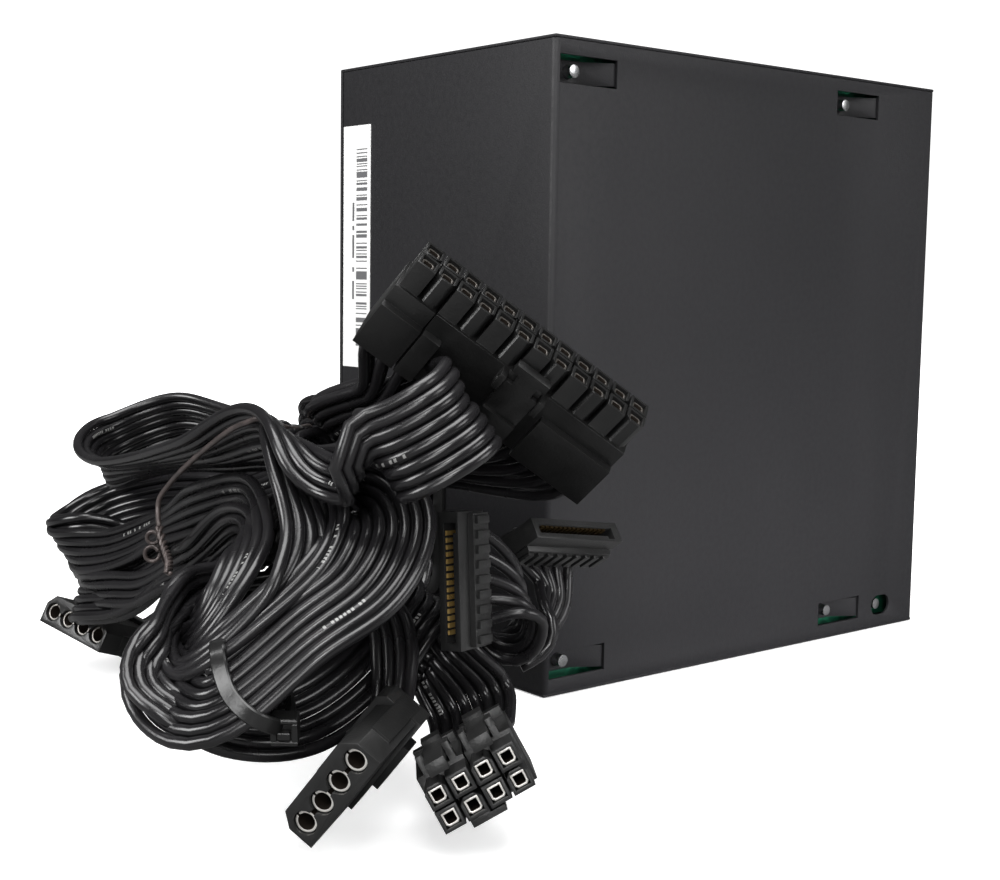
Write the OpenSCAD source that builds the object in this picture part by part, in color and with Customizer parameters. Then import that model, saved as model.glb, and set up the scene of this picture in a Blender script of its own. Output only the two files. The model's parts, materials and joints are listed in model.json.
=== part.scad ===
// Computer power supply: a folded steel case with its fan, circuit board and harness of cables.
// The case stands upright on z = 0 and is centred on x and y. The cable face is at -x, the
// rear panel at +x, the plain face at -y and the fan face at +y. The cables lie beyond -x.

/* [Case] */
// Depth of the case, from the cable face to the rear panel
case_depth = 140; // [135:1:150]
// Height of the case between its plain face and its fan face
case_height = 86; // [86:0.5:90]
// Width of the case, which stands upright
case_width = 150; // [148:1:156]
// Thickness of the folded steel sheet
sheet = 0.8; // [0.7:0.1:1]
// Outside radius of the folded edges
bend_r = 1.5; // [1.2:0.1:2]

/* [Fan] */
// Side of the square fan frame
fan_size = 120; // [118:1:120]
// Depth of the fan frame
fan_depth = 25; // [25:1:25]
// Number of fan blades
fan_blades = 9; // [5:1:11]
// Spacing of the fan's screw holes
fan_pitch = 105; // [104:0.5:105]

/* [Rear panel] */
// Centre-to-centre pitch of the hexagonal vents
vent_pitch = 6.8; // [6.6:0.1:8]
// Radius of each vent, corner to centre
vent_r = 3.25; // [2.6:0.05:3.3]
// Radius of the rear mounting holes
mount_r = 1.6; // [1.4:0.05:1.7]

/* [Harness] */
// Spacing of the wires in a flat cable
wire_pitch = 2.2; // [2.1:0.05:2.3]
// Length of one straight step along a cable
cable_step = 5.5; // [4:0.5:8]
// Pitch of the power connector circuits
pin_pitch = 4.2; // [4.2:0.1:4.2]
// Pitch of the drive connector contacts
drive_pitch = 5.08; // [5.08:0.01:5.08]

/* [Hidden] */

// faces of the case
x_cable = -case_depth/2;
x_rear = case_depth/2;
y_plain = -case_height/2;
y_fan = case_height/2;
mid_z = case_width/2;

// colours
enamel = [0.13, 0.13, 0.14];
plastic = [0.08, 0.08, 0.085];
steel = [0.75, 0.76, 0.78];
cover_screw_black = [0.1, 0.1, 0.1];
fan_screw_black = [0.12, 0.12, 0.12];
guard_grey = [0.15, 0.15, 0.16];
paper = [0.93, 0.93, 0.92];
aluminium = [0.8, 0.81, 0.82];
board_green = [0.05, 0.35, 0.2];
copper = [0.72, 0.42, 0.22];
ferrite = [0.2, 0.2, 0.21];
tin = [0.8, 0.8, 0.78];
gold = [0.85, 0.66, 0.3];
off_white = [0.85, 0.85, 0.8];
comb_white = [0.9, 0.9, 0.86];
main_tape = [0.75, 0.7, 0.25];
standby_tape = [0.8, 0.75, 0.3];
can_sleeve = [0.12, 0.12, 0.16];
film_yellow = [0.85, 0.7, 0.15];
tie_grey = [0.25, 0.22, 0.22];

// ---------- shared shapes; a range is [from, to] ----------
function about(middle, half) = [middle - half, middle + half];
function arc(centre, r, from, to, n = 6) =
  [for (k = [0:n]) let (a = from + (to - from)*k/n) centre + r*[cos(a), sin(a)]];
// rounded rectangle, centred
function rounded(w, h, r, n) = [for (q = [0:3])
  each arc([(q == 0 || q == 3 ? 1 : -1)*(w/2 - r), (q < 2 ? 1 : -1)*(h/2 - r)],
    r, 90*q, 90*q + 90, n)];
// box from its three ranges
module box(x, y, z) {
  translate([x[0], y[0], z[0]]) cube([x[1] - x[0], y[1] - y[0], z[1] - z[0]]);
}
// rods along y and along x
module rod_y(x, z, y, r, sides = 32) {
  translate([x, y[0], z]) rotate([-90, 0, 0]) cylinder(h = y[1] - y[0], r = r, $fn = sides);
}
module rod_x(y, z, x, r, sides = 32) {
  translate([x[0], y, z]) rotate([0, 90, 0]) cylinder(h = x[1] - x[0], r = r, $fn = sides);
}
// rounded plates facing y and facing x
module slab_y(x, z, y, w, h, r, n = 6) {
  translate([x, y[1], z]) rotate([90, 0, 0])
    linear_extrude(y[1] - y[0]) polygon(rounded(w, h, r, n));
}
module slab_x(y, z, x, w, h, r, n = 6) {
  translate([x[0], y, z]) rotate([90, 0, 90])
    linear_extrude(x[1] - x[0]) polygon(rounded(w, h, r, n));
}
// cross-slotted pan-head screw along y, seated at y with its head towards +y
module screw(x, z, y, shank_r, length, head_r, head_h) difference() {
  union() {
    rod_y(x, z, [y - length, y], shank_r, 24);
    rod_y(x, z, [y, y + head_h], head_r);
  }
  for (q = [0, 90]) translate([x, y + head_h - 0.35, z]) rotate([0, q, 0])
    cube([head_r*1.2, 0.9, head_r*0.28], center = true);
}

// ---------- flat cables ----------
// A route row is x, y, z, then the direction across the flat cable, then the wire spread factor.
function smooth(a, b, c, d, t) =
  0.5*(2*b + (c - a)*t + (2*a - 5*b + 4*c - d)*t*t + (3*b - a - 3*c + d)*t*t*t);
function point(row) = [row[0], row[1], row[2]];
function across(row) = [row[3], row[4], row[5]];
function unit(v) = v/norm(v);
// rows at short steps along one smooth curve through the route
function stations(route) = let (last = len(route) - 1) concat(
  [for (i = [0:last - 1])
    let (m = max(1, ceil(norm(point(route[i + 1]) - point(route[i]))/cable_step)))
    for (k = [0:m - 1])
      smooth(route[max(i - 1, 0)], route[i], route[i + 1], route[min(i + 2, last)], k/m)],
  [route[last]]);
// four corners of the cable's cross-section at station i
function section(rows, i, wires, thick) = let (
    p = point(rows[i]),
    along = unit(point(rows[min(i + 1, len(rows) - 1)]) - point(rows[max(i - 1, 0)])),
    side = unit(across(rows[i])),
    flat = unit(side - (side*along)*along),
    a = flat*(wires*wire_pitch*rows[i][6]/2),
    b = cross(along, flat)*(thick/2))
  [p + a + b, p - a + b, p - a - b, p + a - b];
module ribbon(rows, first, last, wires, thick) {
  m = last - first;
  points = [for (i = [first:last]) each section(rows, i, wires, thick)];
  walls = [for (k = [0:m - 1]) for (s = [0:3]) let (e = (s + 1)%4)
    each [[4*k + e, 4*k + s, 4*k + 4 + s], [4*k + e, 4*k + 4 + s, 4*k + 4 + e]]];
  ends = [[0, 1, 2, 3], [4*m + 3, 4*m + 2, 4*m + 1, 4*m]];
  polyhedron(points, concat([ends[0]], [ends[1]], walls), convexity = 6);
}
// the cable in overlapping lengths, so that a coil which touches itself stays a closed solid;
// a resize by zero changes nothing in size and holds the lengths together as one body
module cable(route, wires, thick = 2.2) {
  rows = stations(route);
  last = len(rows) - 1;
  run = 9;
  resize([0, 0, 0]) union() for (i = [0:run:last - 1])
    ribbon(rows, i, min(i + run + (i + run < last ? 1 : 0), last), wires, thick);
}

// ---------- case ----------
base_inset = 0.9;            // base edges, in from z = 0 and z = case_width
base_edge = y_fan - 1.7;     // free edges of the base, under the fan face
lip_z = [base_inset, case_width - base_inset - sheet];
cover_screw_x = [x_cable + 6, x_rear - 6];
cover_screw_z = [6.8, case_width - 6.8];
mounts = [[37, 6], [37, 144], [-27, 6], [-37, 120]];   // rear mounting holes, y and z
// opening in the cable face
exit_y = 8;
exit_z = 35;
exit_w = 22;
exit_h = 32;
// lanced board supports on the plain face: x and z of each window's centre
lances = [[-60, 142.6], [36.4, 142.9], [-60, 7.3], [36.4, 7]];
window_l = 17.4;
window_h = 6.4;
spare = [54.8, 6.4];         // x and z of the fifth board screw, behind a hole of its own
board_holes = concat([for (lance = lances) lance - [2.5, 0]], [spare]);
// mains inlet and switch
inlet_y = -12;
switch_y = 20;
fitting_z = 124;
// recess in the fan face
dish = 122;
dish_depth = 2.4;
dish_floor = y_fan - dish_depth;

// sloped tabs pressed inward from the plain face, each with a hole for a board screw
module board_tabs() for (i = [0:len(lances) - 1]) difference() {
  half = window_l/2;
  translate([lances[i][0], y_plain, lances[i][1] - 2.6]) linear_extrude(5.2) polygon([
    [half - 0.1, sheet/2], [half + 3, sheet/2], [half + 3, 2*sheet], [half - 0.4, 2*sheet],
    [2, 5.2], [0.6 - half, 5.2], [0.6 - half, 4.4], [1.7, 4.4]]);
  rod_y(board_holes[i][0], board_holes[i][1], [y_plain + 3, y_plain + 6], 1.55);
}
// folded U, seen along z
module base_fold() {
  bend_y = y_plain + bend_r;
  cable_bend = [x_cable + bend_r, bend_y];
  rear_bend = [x_rear - bend_r, bend_y];
  translate([0, 0, base_inset]) linear_extrude(case_width - 2*base_inset) polygon(concat(
    [[x_cable, base_edge]],
    arc(cable_bend, bend_r, 180, 270),
    arc(rear_bend, bend_r, 270, 360),
    [[x_rear, base_edge], [x_rear - sheet, base_edge]],
    arc(rear_bend, bend_r - sheet, 360, 270),
    arc(cable_bend, bend_r - sheet, 270, 180),
    [[x_cable + sheet, base_edge]]));
}
module vents() for (i = [0:10], j = [0:12])
  translate([x_rear - 3, -33 + i*vent_pitch*0.97,
      10 + j*vent_pitch*1.1 + (i%2)*vent_pitch*0.55])
    rotate([0, 90, 0]) rotate(30) cylinder(h = 6, r = vent_r, $fn = 6);
module case_base() color(enamel) difference() {
  cut_x = [x_rear - 3, x_rear + 1];
  union() {
    board_tabs();
    base_fold();
    // lips along the plain face
    for (z = lip_z) box([x_cable + 3, x_rear - 3], [y_plain + sheet/2, y_plain + 9], [z, z + sheet]);
    // corner ears for the cover screws
    for (x = [x_cable + sheet/2, x_rear - 11.5], z = [1.2, case_width - 12.4])
      box([x, x + 11.1], [base_edge - sheet, base_edge], [z, z + 11.2]);
    // collars inside the rear mounting holes
    for (m = mounts) rod_x(m[0], m[1], [x_rear - 2.4, x_rear - sheet/2], 2.7);
  }
  for (m = mounts) rod_x(m[0], m[1], cut_x, mount_r);
  for (x = cover_screw_x, z = cover_screw_z) rod_y(x, z, [y_fan - 4, y_fan], 1.25);
  for (l = lances)
    box(about(l[0], window_l/2), [y_plain - 1, y_plain + sheet + 0.001], about(l[1], window_h/2));
  slab_y(spare[0], spare[1], [y_plain - 1, y_plain + sheet + 0.6], 8, 5.6, 2.7);
  vents();
  slab_x(inlet_y, fitting_z, cut_x, 20, 27.6, 1.5, 3);
  slab_x(switch_y, fitting_z, cut_x, 13.2, 19.4, 0.8, 3);
  slab_x(exit_y, exit_z, [x_cable - 1, x_cable + 3], exit_w, exit_h, 4);
}
module case_cover() color(enamel) difference() {
  union() {
    box([x_cable, x_rear], [y_fan - sheet, y_fan], [0, case_width]);
    for (z = [0, case_width - sheet])
      box([x_cable, x_rear], [y_plain + 0.3, y_fan - sheet/2], [z, z + sheet]);
    slab_y(0, mid_z, [dish_floor - sheet, y_fan - 0.1], dish + 1.6, dish + 1.6, 6.8);
  }
  slab_y(0, mid_z, [dish_floor, y_fan + 1], dish, dish, 6);
  rod_y(0, mid_z, [y_fan - 6, y_fan + 1], 57.5, 96);
  for (x = fan_screw_x, z = fan_screw_z) rod_y(x, z, [y_fan - 6, y_fan], 2.3);
  for (x = cover_screw_x, z = cover_screw_z) rod_y(x, z, [y_fan - 2, y_fan + 1], 1.75);
}
module cover_screws() color(cover_screw_black) for (x = cover_screw_x, z = cover_screw_z)
  screw(x, z, y_fan + 0.02, shank_r = 1.2, length = 4, head_r = 2.7, head_h = 1.1);
// one rounded ring of the grommet, larger than the opening by margin
module exit_slab(from, to, margin, r)
  slab_x(exit_y, exit_z, [x_cable + from, x_cable + to], exit_w + margin, exit_h + margin, r);
module exit_grommet() color(plastic) difference() {
  union() {
    exit_slab(-1.4, -0.02, 3.6, 5);
    exit_slab(-0.5, 3.2, -0.2, 3.9);
    exit_slab(sheet + 0.1, 3.2, 1.6, 4.4);
  }
  exit_slab(-3, 5, -3.4, 2.6);
}
// one label on the cable face and one on the side at z = case_width
module labels() color(paper) {
  box([x_cable - 0.12, x_cable - 0.01], [28.6, 41], [72.2, 135]);
  box([-52, 48], [-26, 30], [case_width + 0.01, case_width + 0.12]);
}

// ---------- fan, its axis along y ----------
fan_outer = dish_floor - sheet - 0.05;
fan_inner = fan_outer - fan_depth;
fan_bore = 58.2;
fan_screw_x = about(0, fan_pitch/2);
fan_screw_z = about(mid_z, fan_pitch/2);
guard_y = dish_floor + 0.84;
guard_start = 13.4;          // radius at which the guard's spokes begin

// rod on the fan's axis, its ends measured from the frame's inner face
module hub(from, to, r, sides = 32)
  rod_y(0, mid_z, [fan_inner + from, fan_inner + to], r, sides);
module radial(y, angle) translate([0, y, mid_z]) rotate([0, angle, 0]) children();

module fan_frame() color(plastic) difference() {
  union() {
    difference() {
      slab_y(0, mid_z, [fan_inner, fan_outer], fan_size, fan_size, 5);
      hub(-1, fan_depth + 1, fan_bore, 96);
      // corners relieved between the two flanges
      for (x = [-57, 57], z = [-57, 57])
        translate([x, fan_inner + 4, mid_z + z]) rotate([0, 45, 0])
          box(about(0, 14), [0, fan_depth - 8], about(0, 14));
    }
    difference() {
      hub(0, fan_depth, 60, 96);
      hub(-1, fan_depth + 1, fan_bore, 96);
    }
    hub(0, 1.6, 21, 64);
    for (a = [20, 110, 200, 290]) radial(fan_inner, a) box([18, 59.4], [0, 2.4], about(0, 2));
    hub(0, 15, 3.4);
  }
  hub(-1, 16, 2.55);
  for (x = fan_screw_x, z = fan_screw_z) rod_y(x, z, [fan_inner - 1, fan_outer + 1], 2.15);
}
module fan_bearing() color(copper) difference() {
  hub(1.2, 14.6, 2.54);
  hub(0, 16, 1.55);
}
module fan_circuit() difference() {
  hub(1.8, 3, 17, 48);
  hub(1, 4, 3.6);
}
module fan_stator() color(copper) {
  fan_circuit();
  difference() {
    union() {
      hub(5, 12, 7);
      for (a = [0:90:270]) radial(fan_inner + 5, a) {
        box([5, 13], [0, 7], about(0, 2.5));
        box([12.4, 14.6], [0, 7], about(0, 5.5));
      }
    }
    hub(4, 13, 3.45);
  }
}
function blade_point(s, offset) = [19.2 + s*7.5, offset + s*1.6 - s*s*0.25];
module blade(angle) radial(fan_inner + 4.4, angle) rotate([-90, 0, 0])
  linear_extrude(height = 17, twist = -34, slices = 6)
    polygon([for (s = [0:5]) blade_point(s, 1.1), for (s = [5:-1:0]) blade_point(s, -0.6)]);
module fan_rotor() color(plastic) union() {
  difference() {
    hub(3.6, 22, 20.4, 64);
    hub(3, 20.2, 18.2, 64);
  }
  for (k = [0:fan_blades - 1]) blade(360*k/fan_blades);
}
module fan_magnet() color(ferrite) difference() {
  hub(4.5, 14, 18.15, 64);
  hub(4, 15, 15.8, 64);
}
module fan_shaft() color(steel) hub(2, 20.25, 1.5);
module fan_screws() color(fan_screw_black) for (x = fan_screw_x, z = fan_screw_z)
  screw(x, z, dish_floor + 1.62, shank_r = 2, length = 9, head_r = 3.6, head_h = 0.7);
// wire guard lying in the recess: rings, spokes and screw eyes
module guard_ring(r) translate([0, guard_y, mid_z]) rotate([90, 0, 0])
  rotate_extrude($fn = 96) translate([r, 0]) circle(r = 0.8, $fn = 16);
module fan_guard() color(guard_grey) union() {
  for (r = [14:8.6:57]) guard_ring(r);
  for (a = [45:90:315]) radial(guard_y, a)
    rod_x(0, 0, [guard_start, fan_pitch/2*sqrt(2) - 2.8], 0.79, 16);
  for (x = fan_screw_x, z = fan_screw_z) difference() {
    rod_y(x, z, [dish_floor + 0.03, dish_floor + 1.6], 3.7);
    rod_y(x, z, [dish_floor - 1, dish_floor + 3], 2.2);
  }
}
fan_route = [
  [-58,fan_inner-1.1,119, 0,0,1, 1], [-63,fan_inner-9,118, 0,0,1, 1],
  [-63,-6,115, 0,0,1, 1], [-61,-22,112, 0,0,1, 1]];
// cable ending in a plug and its header on the board
module fan_cable() color(plastic) {
  cable(fan_route, 2, 1.6);
  box([-64, -57], [-30.5, -22.3], [108, 116]);
  box([-65, -56], [-35.1, -30.6], [107, 117]);
}

// ---------- rear panel fittings ----------
inlet_pins = [[-4.2, 7], [-4.2, -7], [2.2, 0]];   // y and z from the inlet's centre
rocker_x = x_rear - 4;                            // pivot of the rocker

// blades of the inlet, or the slots they pass through
module inlet_blades(x, half_y, half_z, middle_extra = 0) for (p = inlet_pins)
  box([x[0], x[1] + (p[1] == 0 ? middle_extra : 0)],
    about(inlet_y + p[0], half_y), about(fitting_z + p[1], half_z));
module ac_inlet() color(plastic) difference() {
  union() {
    slab_x(inlet_y, fitting_z, [x_rear + 0.02, x_rear + 2.4], 23, 31, 3);
    slab_x(inlet_y, fitting_z, [x_rear - 21, x_rear + 0.1], 19.8, 27.4, 1.4, 3);
    // retaining clips
    for (s = [-1, 1])
      box([x_rear - 6, x_rear - 1], about(inlet_y, 3),
        [fitting_z + s*13.6 - 0.7, fitting_z + s*13.7 + 0.7]);
  }
  translate([x_rear - 15.5, inlet_y, fitting_z]) rotate([90, 0, 90]) linear_extrude(20)
    polygon([[-7.8,-12.2], [5,-12.2], [7.8,-8.6], [7.8,8.6], [5,12.2], [-7.8,12.2]]);
  inlet_blades([x_rear - 22, x_rear - 10], 2.05, 1.05);
}
module switch_bezel() color(plastic) difference() {
  union() {
    slab_x(switch_y, fitting_z, [x_rear + 0.02, x_rear + 1.7], 15.4, 21.4, 1.4);
    slab_x(switch_y, fitting_z, [x_rear - 9.1, x_rear + 0.1], 13, 19.2, 0.7, 3);
  }
  slab_x(switch_y, fitting_z, [x_rear - 7.9, x_rear + 3], 10.8, 17, 0.6, 3);
  rod_y(rocker_x, fitting_z, about(switch_y, 6.2), 1.05);
}
// rocker with its upper end tilted in
module rocker() color(plastic) translate([rocker_x, 0, fitting_z]) rotate([0, -7, 0]) union() {
  translate([0, switch_y + 5.2, 0]) rotate([90, 0, 0]) linear_extrude(10.4)
    polygon([[-3.4,-3], [-3.4,3], [1.5,7.3], [6.7,7.4], [4.9,0], [6.7,-7.4], [1.5,-7.3]]);
  rod_y(0, 0, about(switch_y, 6.1), 1);
}
module panel_terminals() color(tin) {
  inlet_blades([x_rear - 26, x_rear - 3.4], 2, 1, middle_extra = 1.6);
  for (y = about(switch_y, 2.8), z = about(fitting_z, 5))
    box([x_rear - 9.95, x_rear - 9.15], about(y, 2.3), about(z, 1.2));
}

// ---------- circuit board and its parts, each box given by its x, y and z ranges ----------
board_top = y_plain + 7;     // component side, facing +y
board_under = board_top - 1.6;
seat = board_top + 0.05;     // where the parts stand

module circuit_board() color(board_green) {
  box([-8, -6.4], [seat, -6], [132, 146.5]);   // small upright control board
  difference() {
    box([x_cable + 3, x_rear - 4], [board_under, board_top], [2.4, case_width - 2.4]);
    for (h = board_holes) rod_y(h[0], h[1], [board_under - 1, board_top + 1], 1.7);
  }
}
module board_screws() color(steel) for (i = [0:len(board_holes) - 1])
  screw(board_holes[i][0], board_holes[i][1], board_top + 0.02, shank_r = 1.45,
    length = i < len(lances) ? 4.9 : 5.6, head_r = 2.8, head_h = 1.5);
module insulator_sheet() color(off_white) difference() {
  box([x_cable + 3, x_rear - 4], [y_plain + 2.2, y_plain + 2.5], [13, case_width - 13]);
  for (l = lances) box([l[0] - 12, l[0] + 14], [y_plain + 1, y_plain + 4], about(l[1], 4));
}
// upright plate with six fins across one side
module heatsink(plate_x, fin_x, z, top, fin_pitch) {
  box(plate_x, [seat, top], z);
  for (k = [0:5]) box(fin_x, [5 - k*fin_pitch, 6 - k*fin_pitch], z);
}
module primary_heatsink() color(aluminium) {
  box([31.1, 33.1], [seat, 2], [100, 132]);   // plate of the bridge rectifier
  heatsink([6, 9], [9, 17], [30, 98], top = 8, fin_pitch = 5);
}
module secondary_heatsink() color(aluminium)
  heatsink([-40, -37], [-48, -40], [52, 112], top = 6, fin_pitch = 5.4);
module main_transformer() color(main_tape) box([-30, 0.6], [-33, -3], [66, 96]);
module transformer_core() color(ferrite) difference() {
  box([-25, -4.4], [-35, -1], [62, 100]);
  box([-31, 3], [-33.2, -2.8], [65.8, 96.2]);
}
module standby_transformer() color(standby_tape) {
  box([-22, -4], [-35.9, -18], [108, 126]);
  box([-18, -8], [-35.9, -15], [104, 130]);
}
// x and z of the capacitors
bulk_places = [[30,36], [30,60]];
output_places = [[-58,62], [-58,74], [-58,86], [-58,98], [-8,42], [-8,54.5], [-19,56],
  [-58,128], [-46,128]];
// can with vent grooves across its top
module can(place, r, height) difference() {
  rod_y(place[0], place[1], [seat, board_top + height], r, 48);
  for (q = [0, 60, 120]) translate([place[0], board_top + height, place[1]]) rotate([0, q, 0])
    cube([r*1.4, 0.5, 0.5], center = true);
}
module electrolytic_capacitors() color(can_sleeve) {
  for (p = bulk_places) can(p, 11, 45);
  for (p = output_places) can(p, 5, 20);
}
module choke(centre, ring_r, coil_r, turn) translate(centre) rotate(turn)
  rotate_extrude($fn = 48) translate([ring_r, 0]) circle(r = coil_r, $fn = 20);
module wound_chokes() color(copper) {
  choke([32, -20, 85.5], 9, 5, [0, 90, 0]);
  choke([-2, -27, 18], 9, 5, [90, 0, 0]);
  for (z = [92.5, 66]) choke([54, -22.9, z], 8.5, 4.4, [0, 90, 0]);
}
module x_capacitors() color(film_yellow) for (z = [44, 32])
  box([44, 62], [seat, -21], [z, z + 8]);
// three-legged device with its back at x, standing off towards side
module power_package(x, z, side) {
  box([min(x, x + side*4.4), max(x, x + side*4.4)], [-20, -5], about(z, 5));
  for (k = [-1:1]) box(about(x + side*2.4, 0.4), [seat, -19.5], about(z + k*2.54, 0.4));
}
module power_devices() color(plastic) {
  for (z = [38, 52, 66, 82]) power_package(5.95, z, -1);
  for (z = [60, 76, 92]) power_package(-36.95, z, 1);
  box([26, 31], [seat, -12], [104, 128]);     // bridge rectifier
}
module line_fuse() color(off_white) rod_x(-32.6, 136, [1, 21], 2.9, 24);
module wire_comb() color(comb_white) difference() {
  box([-56, -52], [seat, 14.5], [17, 53]);
  box([-57, -51], [-34.5, 14], [19, 51]);
}
live_route = [
  [44,-14.2,133, 0,1,0, 1], [38,-14,136, 0,1,0, 1],
  [32,-22,138, 0.5,0.5,0, 1], [26,-33,138, 1,0,0, 1]];
earth_route = [
  [42,-9.8,126, 0,1,0, 1], [36,-4,132, 0,1,0, 1],
  [44,4,142, 0,1,0, 1], [60,6,144, 0,1,0, 1]];
module mains_wires() color(plastic) {
  cable(live_route, 2);
  cable(earth_route, 1);
}

// ---------- connectors: own axes, mating face at z = 0, housing towards -z ----------
// poses: position of the mating face's centre, then the turn of its axes
main_pose = [[-119.3,-95.6,86.1], [-33.4,-35.8,149.1]];
cpu_pose = [[-148.2,-117,15.2], [84.7,-29,-33]];
graphics_pose = [[-101.6,4,8], [90,0,144]];
drive_pose_a = [[-165,-99,13], [101.5,-51.3,-65.7]];
drive_pose_b = [[-148.4,36.9,13.5], [70.1,13.1,-72.7]];
storage_pose_a = [[-133.2,-89,42.3], [-49.1,-82.9,70.6]];
storage_pose_b = [[-97.5,-83.5,47.5], [55,8.3,5.5]];
// latches: centre in x, width, half-length of the pivot bore
main_lever = [-3.2, 7, 7];
cpu_lever_a = [3.7, 3.4, 3.2];
cpu_lever_b = [-4.3, 3.4, 3.2];
graphics_lever = [-2.1, 5, 5];
body_l = 19.6;
body_y = 4.8;                // half-thickness of a housing
pivot_y = body_y + 1.9;
pivot_z = -7.6;
end_wall = 0.3;              // extra wall at the ends of a full row
// ribs on the latch side of the main connector
rib_y = [body_y - 0.1, body_y + 1.9];
rib_z = [-body_l, -9.8];

module place(pose) translate(pose[0]) rotate(pose[1]) children();
// centre of a circuit in two rows of count columns; column 1 is at +x
function circuit(count, column, row, z = 0) =
  [(count/2 + 0.5 - column)*pin_pitch, (row == 0 ? 1 : -1)*pin_pitch/2, z];
// towers round the circuits, alternately D-shaped and square
module towers(count, first, last) for (c = [first:last], r = [0, 1])
  translate(circuit(count, c, r, -6.2)) linear_extrude(6.2) polygon((c + r)%2 == 0
    ? [[-1.9,-1.95], [1.9,-1.95], [1.9,0.9], [0.9,1.95], [-0.9,1.95], [-1.9,0.9]]
    : [[-1.9,-1.95], [1.9,-1.95], [1.9,1.95], [-1.9,1.95]]);
module bores(count, first, last) for (c = [first:last], r = [0, 1])
  translate(circuit(count, c, r)) box(about(0, 1.35), about(0, 1.35), [-body_l - 1, 1]);
// housing of columns first to last, with a gap at each end that meets another block
module block(count, first, last, low_gap = 0.08, high_gap = 0.08) {
  low = (count/2 - last)*pin_pitch + (last == count ? -end_wall : low_gap);
  high = (count/2 + 1 - first)*pin_pitch + (first == 1 ? end_wall : -high_gap);
  box([low, high], about(0, body_y), [-body_l, -6]);
  towers(count, first, last);
}
module posts(latch) for (s = [-1, 1])
  box(about(latch[0] + s*(latch[1]/2 + 0.75), 0.6), [body_y - 0.1, body_y + 3.1], [-9.4, -6]);
module post_bores(latch) rod_x(pivot_y, pivot_z, about(latch[0], latch[2]), 0.65, 24);
// arm of a latch with its raised pad and pivot
module lever_arm(latch, arm_end) {
  x = about(latch[0], latch[1]/2);
  box(x, [body_y + 1.3, body_y + 2.5], [-17, arm_end]);
  box(x, [body_y + 2.4, body_y + 3.3], [-17, -13.5]);
  rod_x(pivot_y, pivot_z, about(latch[0], latch[1]/2 + 1.2), 0.6, 24);
}
module lever(latch) union() {
  lever_arm(latch, -0.4);
  box(about(latch[0], latch[1]/2), [body_y + 0.25, body_y + 1.4], [-2.2, -0.4]);
}
// latch with a narrow neck and a wide hooked nose
module necked_lever(latch) union() {
  lever_arm(latch, -6.9);
  box(about(latch[0], latch[1]/2 - 1.5), [body_y + 1.3, body_y + 2.5], [-7, -4.5]);
  box(about(latch[0], latch[1]/2), [body_y + 0.25, body_y + 2.5], [-4.6, -2.9]);
}
function tube_outline(half, flat) =
  [[-half,-flat], [-flat,-half], [flat,-half], [half,-flat], [half,half], [-half,half]];
// split terminal tubes
module tubes(count, first, last) for (c = [first:last], r = [0, 1])
  translate(circuit(count, c, r, -13)) difference() {
    linear_extrude(12.4) polygon(tube_outline(1.24, 0.8));
    translate([0, 0, -1]) linear_extrude(15) polygon(tube_outline(0.86, 0.62));
    box(about(0, 0.3), [0.5, 1.5], [-1, 8]);
  }

// twelve columns: the main block takes 3 to 12, the four-pin block 1 and 2
module main_connector() color(plastic) place(main_pose) difference() {
  union() {
    block(12, 3, 12, high_gap = 0.12);
    box([12.8, 16.6], rib_y, rib_z);
    box([-25.5, -9.6], rib_y, rib_z);
    posts(main_lever);
  }
  bores(12, 3, 12);
  post_bores(main_lever);
}
module main_latch() color(plastic) place(main_pose) necked_lever(main_lever);
module four_pin_block() color(plastic) place(main_pose) difference() {
  union() {
    block(12, 1, 2, low_gap = 0.12);
    box([17, 25.5], rib_y, rib_z);
    box([17.2, 25.4], [-body_y - 1.2, -body_y + 0.1], [-16, -7]);
    box([12.5, 25.4], [-body_y - 1.2, -body_y - 0.15], [-14, -9]);
  }
  bores(12, 1, 2);
}
module four_pin_terminals() color(tin) place(main_pose) tubes(12, 1, 2);

// one half of the four-column connector, with a ridge across its cable end
module cpu_half(first, ridge_x, latch) difference() {
  union() {
    block(4, first, first + 1, 0.12, 0.12);
    posts(latch);
    box(ridge_x, [body_y - 0.1, body_y + 1.6], [-body_l, -17.6]);
    children();
  }
  bores(4, first, first + 1);
  post_bores(latch);
}
module cpu_connector_a() color(plastic) place(cpu_pose) cpu_half(1, [0.6, 8.4], cpu_lever_a);
// the second half has a tongue that reaches under the first
module cpu_connector_b() color(plastic) place(cpu_pose)
  cpu_half(3, [-8.4, -0.6], cpu_lever_b) {
    box([-4, -0.4], [-body_y - 1.2, -body_y + 0.1], [-9, -2.5]);
    box([-2.6, 2.2], [-body_y - 1.2, -body_y - 0.15], [-9, -2.5]);
  }
module cpu_latch_a() color(plastic) place(cpu_pose) lever(cpu_lever_a);
module cpu_latch_b() color(plastic) place(cpu_pose) lever(cpu_lever_b);
module cpu_terminals_b() color(tin) place(cpu_pose) tubes(4, 3, 4);

// four columns: the graphics block takes 2 to 4, the two-pin block 1
module graphics_connector() color(plastic) place(graphics_pose) difference() {
  union() {
    block(4, 2, 4, high_gap = 0.12);
    posts(graphics_lever);
  }
  bores(4, 2, 4);
  post_bores(graphics_lever);
}
module graphics_latch() color(plastic) place(graphics_pose) lever(graphics_lever);
module two_pin_block() color(plastic) place(graphics_pose) difference() {
  union() {
    block(4, 1, 1, low_gap = 0.12);
    box([2.2, 8.4], [body_y + 0.15, body_y + 1.2], [-17, -12.5]);
    box([4.6, 8.4], [body_y - 0.1, body_y + 1.2], [-17, -12.5]);
  }
  bores(4, 1, 1);
}
module two_pin_terminals() color(tin) place(graphics_pose) tubes(4, 1, 1);

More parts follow.
